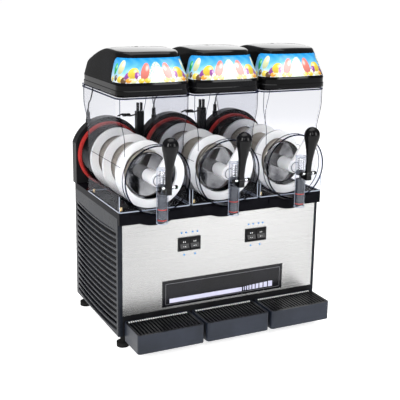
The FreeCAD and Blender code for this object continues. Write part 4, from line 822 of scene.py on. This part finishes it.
def hopper_corners(tag, x):
    """Thin beads up the four corners of the hopper, which flares outward towards the lip; tinted dark:
    painted shade for the corners' dark edges.
    """
    sides, wire, beads = 6, 0.9, []
    tuck = LIP_PLAN[4] * (1 - math.sqrt(0.5))
    turns = [2 * math.pi * k / sides for k in range(sides)]
    for sx in (-1, 1):
        for wall, inward in ((LIP_PLAN[2], 1), (LIP_PLAN[3], -1)):
            verts, py = [], wall + inward * tuck
            for level in range(HOPPER_LEVELS):
                z = HOPPER_LOW + level * HOPPER_STEP
                rise = min(max((z - FLARE_LOW) / FLARE_HEIGHT, 0.0), 1.0)
                half = HOPPER_HALF + FLARE_OUT * rise * rise * (3 - 2 * rise)
                px = x + sx * (half - tuck) * MM
                verts += [(px + wire * MM * math.cos(turn), deep(py + wire * math.sin(turn)), z * MM)
                          for turn in turns]
            last = (HOPPER_LEVELS - 1) * sides
            caps = [tuple(range(sides)), tuple(range(last, last + sides))]
            beads.append((verts, ring_faces(HOPPER_LEVELS, sides) + caps))
    add_piece(f"hopper_corners_{tag}", *merged(beads), CLEAR_PAINTED_SHADE, f"bowl_{tag}", "clear_polycarbonate")


def mould_lines(tag, x):
    """The fine line along each side of the bowl where the trough meets the hopper, tinted dark: painted
    shade along the line.
    """
    thin = 0.35 * MM
    thin_strips = [slab((px - thin, deep(9), 0.4826), (px + thin, deep(235), 0.4837))
             for px in (x - 86.6 * MM, x + 86.6 * MM)]
    add_piece(f"mould_line_{tag}", *merged(thin_strips), CLEAR_PAINTED_SHADE, f"bowl_{tag}", "clear_polycarbonate", (),
              False)


# ---------------------------------------------------------------- cabinet details
def badge():
    """A silver border, a pale strip and a row of plain blocks on the front badge."""
    left, right, low, high = -177, 190, 96.5, 169
    face = deep(-1.8)
    proud, back = face - 0.35 * MM, face + 0.1 * MM
    inset, drop, line = 8, 6, 1.5
    x_low, x_high, z_low, z_high = left + inset, right - inset, low + drop, high - inset
    bars = []
    for x0, x1, z0, z1 in ((x_low, x_high, z_high - line, z_high), (x_low, x_high, z_low, z_low + line),
                           (x_low, x_low + line, z_low, z_high), (x_high - line, x_high, z_low, z_high)):
        bars.append(slab((x0 * MM, proud, z0 * MM), (x1 * MM, back, z1 * MM)))
    add_piece("badge_border", *merged(bars), GALVANISED, "root", "polished_stainless", (), False)
    strip_left, strip_right, strip_low, strip_high = -157, 62, 106, 118
    strip = slab((strip_left * MM, proud, strip_low * MM), (strip_right * MM, back, strip_high * MM))
    add_piece("badge_strip", *strip, LAVENDER, "root", "badge_black", (), False)
    blocks, x = [], strip_right + 4.0
    for number in range(9):
        width = 2.2 + 1.35 * number
        low_edge, top = strip_low + 1, strip_high + 0.6 * number
        blocks.append(slab((x * MM, proud, low_edge * MM), ((x + width) * MM, back, top * MM)))
        x += width + 3.0
    add_piece("badge_blocks", *merged(blocks), LAVENDER, "root", "badge_black", (), False)


def louvre_beads(side, sx):
    """Rounded faces on the bars between the side panel's bowed slots."""
    first, pitch, gap, bar_height, count, sag = 49, 16, 8.5, 7.3, 17, 7
    skin, swelling = 299.8, 1.7
    start, end, along, across = 14, 331, 28, 8
    verts, faces = [], []
    for bar in range(-1, count):
        low = first + pitch * bar + gap
        base = len(verts)
        for i in range(along + 1):
            t = i / along
            drop = -sag * (1 - (2 * t - 1) ** 2)
            swell = min(1.0, 6 * t, 6 * (1 - t)) ** 0.5 if 0 < t < 1 else 0.0
            for j in range(across + 1):
                u = j / across
                out = skin + swelling * swell * math.sin(math.pi * u) ** 0.8
                height = low + 0.1 + bar_height * u + drop
                verts.append((sx * out * MM, deep(start + (end - start) * t), height * MM))
        for i in range(along):
            for j in range(across):
                a = base + i * (across + 1) + j
                faces.append((a, a + 1, a + across + 2, a + across + 1))
    add_piece(f"louvre_beads_{side}", verts, faces, LOUVRE, "root", "black_steel")


def indicator_lenses():
    """Small blue lamps over and under the switches."""
    lamps = []
    profile = [(2.3 * MM, 0.2 * MM), (2.3 * MM, -0.5 * MM), (1.7 * MM, -1.1 * MM), (0.001 * MM, -1.3 * MM)]
    for height, places in ((296, (-123, -110, -91, -77, 78, 92, 109, 122)), (235, (-115, -83, 86, 115))):
        for x in places:
            lamps.append(turned((x * MM, deep(0), height * MM), profile, "y", 20))
    add_piece("indicator_lenses", *merged(lamps), LENS, "root", "white_plastic")


def rocker_marks():
    """Plain pairs of dots on the rocker keys, whose faces lean at rest."""
    pivot_depth, pivot_z, face_radius, proud = 5.5, 265, 9.35, 0.3
    lean = math.radians(-8)
    for side, sx in (("left", -1), ("right", 1)):
        for number, offset in ((1, -15), (2, 15)):
            centre = sx * 100.7 + offset
            marks = []
            for along in (6.2, -6.8):
                for step in (-1, 1):
                    px = centre + 2.6 * step
                    py = pivot_depth - face_radius * math.cos(lean) - along * math.sin(lean) - proud
                    pz = pivot_z + along * math.cos(lean)
                    marks.append(slab(((px - 0.7) * MM, deep(py - 0.25), (pz - 1.7) * MM),
                                      ((px + 0.7) * MM, deep(py + 0.9), (pz + 1.7) * MM)))
            add_piece(f"rocker_marks_{side}_{number}", *merged(marks), WHITE, f"rocker_{side}_{number}",
                      "black_plastic", (), False)


def locking_screws():
    """Thumb screws that hold each bowl's skirt down on the deck."""
    profile = [(5.0 * MM, 0), (5.0 * MM, 1.2 * MM), (3.4 * MM, 1.6 * MM), (3.4 * MM, 4.2 * MM),
               (4.4 * MM, 4.6 * MM), (4.4 * MM, 8.2 * MM), (3.7 * MM, 9.0 * MM), (0.001, 9.2 * MM)]
    for tag, i in STATIONS:
        for number, depth in enumerate((4, 205)):
            centre = (i * BOWL_PITCH - 88 * MM, deep(depth), 0.3736)
            screw = add_piece(f"locking_screw_{tag}_{number + 1}", *turned(centre, profile, "z", 20), BRASS,
                              f"bowl_{tag}", "machined_steel")
            screw.data.set_sharp_from_angle(angle=math.radians(35))


def grille_light_dashes():
    """A row of small pale blocks in the slots at the rear of each drip grille: painted light for the bright
    dashes seen through the slots.
    """
    count, half_row, half_dash = 27, 81.6 * MM, 1.5 * MM
    for tag, i in STATIONS:
        light_dashes = []
        for number in range(count):
            x = i * TRAY_PITCH + (2 * number / (count - 1) - 1) * half_row
            light_dashes.append(slab((x - half_dash, deep(-12.6), 0.0725), (x + half_dash, deep(-8.0), 0.0764)))
        add_piece(f"grille_light_dashes_{tag}", *merged(light_dashes), WHITE, f"grille_{tag}", "black_plastic", (), False)


def lead_joints():
    """The in-line plugs on the leads that run from each junction post to the socket beside it."""
    profile = [(2.2 * MM, -13 * MM), (4.4 * MM, -10 * MM), (5.0 * MM, -2 * MM), (3.6 * MM, 0),
               (5.0 * MM, 2 * MM), (4.4 * MM, 10 * MM), (2.2 * MM, 13 * MM)]
    for number, side in enumerate((-0.5, 0.5)):
        centre = (side * BOWL_PITCH - 41 * MM, deep(347), 0.556)
        add_piece(f"lead_joint_{number + 1}", *turned(centre, profile, "x", 20), BLACK_PLASTIC, "root",
                  "black_plastic")


STATION_PIECES = (hood, film, lamp_lead, pivot_pin, valve_spring, piston_seals, trough_rims, skirt_rim,
                  tube_rim, lip_rim, hopper_corners, mould_lines)
for tag, i in STATIONS:
    for make in STATION_PIECES:
        make(tag, i * BOWL_PITCH)
badge()
louvre_beads("left", -1)
louvre_beads("right", 1)
indicator_lenses()
rocker_marks()
locking_screws()
grille_light_dashes()
lead_joints()


# ---------------------------------------------------------------- studio
def look_at(eye, target, roll=0.0):
    """The placing of a camera or lamp that looks from eye to target, rolled about that line."""
    back = (Vector(eye) - Vector(target)).normalized()
    right = Vector((0, 0, 1)).cross(back).normalized()
    up = back.cross(right)
    side = math.cos(roll) * right + math.sin(roll) * up
    top = -math.sin(roll) * right + math.cos(roll) * up
    matrix = Matrix((side, top, back)).transposed().to_4x4()
    matrix.translation = Vector(eye)
    return matrix


def area_light(name, eye, target, width, height, power):
    """A white rectangular lamp that the camera doesn't see."""
    data = bpy.data.lights.new(name, "AREA")
    data.shape = "RECTANGLE"
    data.size, data.size_y = width, height
    data.energy = power
    lamp = bpy.data.objects.new(name, data)
    lamp.matrix_world = look_at(eye, target)
    lamp.visible_camera = False
    bpy.context.scene.collection.objects.link(lamp)


TARGET = Vector((0, 0.0485, 0.400))
AZIMUTH, ELEVATION, ROLL = math.radians(-26.05), math.radians(13.55), math.radians(0.914)
DISTANCE = 2.3357
toward = Vector((math.sin(AZIMUTH) * math.cos(ELEVATION), -math.cos(AZIMUTH) * math.cos(ELEVATION),
                 math.sin(ELEVATION)))
camera_data = bpy.data.cameras.new("camera")
camera_data.lens = 74.13
camera_data.sensor_width = 36
camera_data.shift_x = 0.0114
camera_data.shift_y = -0.0608
camera = bpy.data.objects.new("camera", camera_data)
camera.matrix_world = look_at(TARGET + toward * DISTANCE, TARGET, ROLL)
scene = bpy.context.scene
scene.collection.objects.link(camera)
scene.camera = camera
scene.view_settings.view_transform = "Standard"
scene.cycles.transparent_max_bounces = 40


def studio_world():
    """A white backdrop that is bright behind and above the machine and dim in front of it."""
    world = bpy.data.worlds.new("studio")
    world.use_nodes = True
    tree = world.node_tree
    sky = tree.nodes["Background"]
    where = tree.nodes.new("ShaderNodeTexCoord")
    parts = tree.nodes.new("ShaderNodeSeparateXYZ")
    tree.links.new(where.outputs["Generated"], parts.inputs[0])
    rear = spread(tree, parts.outputs["Y"], 0.06, 0.30, -0.3, 0.9)
    high = spread(tree, parts.outputs["Z"], 0.0, 0.45, 0.3, 1.0)
    both = tree.nodes.new("ShaderNodeMath")
    both.operation = "ADD"
    tree.links.new(rear, both.inputs[0])
    tree.links.new(high, both.inputs[1])
    tree.links.new(both.outputs[0], sky.inputs["Strength"])
    backdrop = tree.nodes.new("ShaderNodeBackground")
    backdrop.inputs["Strength"].default_value = 1.3
    seen = tree.nodes.new("ShaderNodeLightPath")
    mix = tree.nodes.new("ShaderNodeMixShader")
    tree.links.new(seen.outputs["Is Camera Ray"], mix.inputs[0])
    tree.links.new(sky.outputs[0], mix.inputs[1])
    tree.links.new(backdrop.outputs[0], mix.inputs[2])
    tree.links.new(mix.outputs[0], tree.nodes["World Output"].inputs["Surface"])
    for background in (sky, backdrop):
        background.inputs["Color"].default_value = (1, 1, 1, 1)
    bpy.context.scene.world = world


studio_world()

FLOOR_SIZE, FLOOR_Z = 30, -0.5 * MM
floor_mesh = bpy.data.meshes.new("floor")
plan = bmesh.new()
bmesh.ops.create_grid(plan, x_segments=8, y_segments=8, size=FLOOR_SIZE)
plan.to_mesh(floor_mesh)
floor = bpy.data.objects.new("floor", floor_mesh)
floor.location.z = FLOOR_Z
scene.collection.objects.link(floor)
floor_material, floor_tree, floor_bsdf = shader("floor_white")
setting(floor_bsdf, color=(0.80, 0.80, 0.80), rough=0.7, specular=0.2, glow=0.71,
        glow_color=(1.0, 1.0, 1.0))
floor_mesh.materials.append(floor_material)

area_light("softbox_front_left", (-2.3, -1.5, 1.5), (0, 0, 0.6), 0.7, 1.8, 70)
area_light("softbox_front_right", (1.3, -2.3, 1.2), (0, 0, 0.5), 1.0, 1.4, 42)
area_light("softbox_top", (0, -0.1, 2.4), (0, 0, 0.5), 2.0, 1.6, 42)
area_light("backdrop_glow", (1.45, 2.9, 1.45), (0, 0, 0.75), 2.6, 1.1, 12)
area_light("strip_left", (-0.95, -2.35, 1.75), (0, 0, 0.7), 0.14, 1.1, 14)
area_light("window_sheen", (1.15, -1.95, 1.95), (0, 0, 0.7), 0.4, 0.5, 2.0)
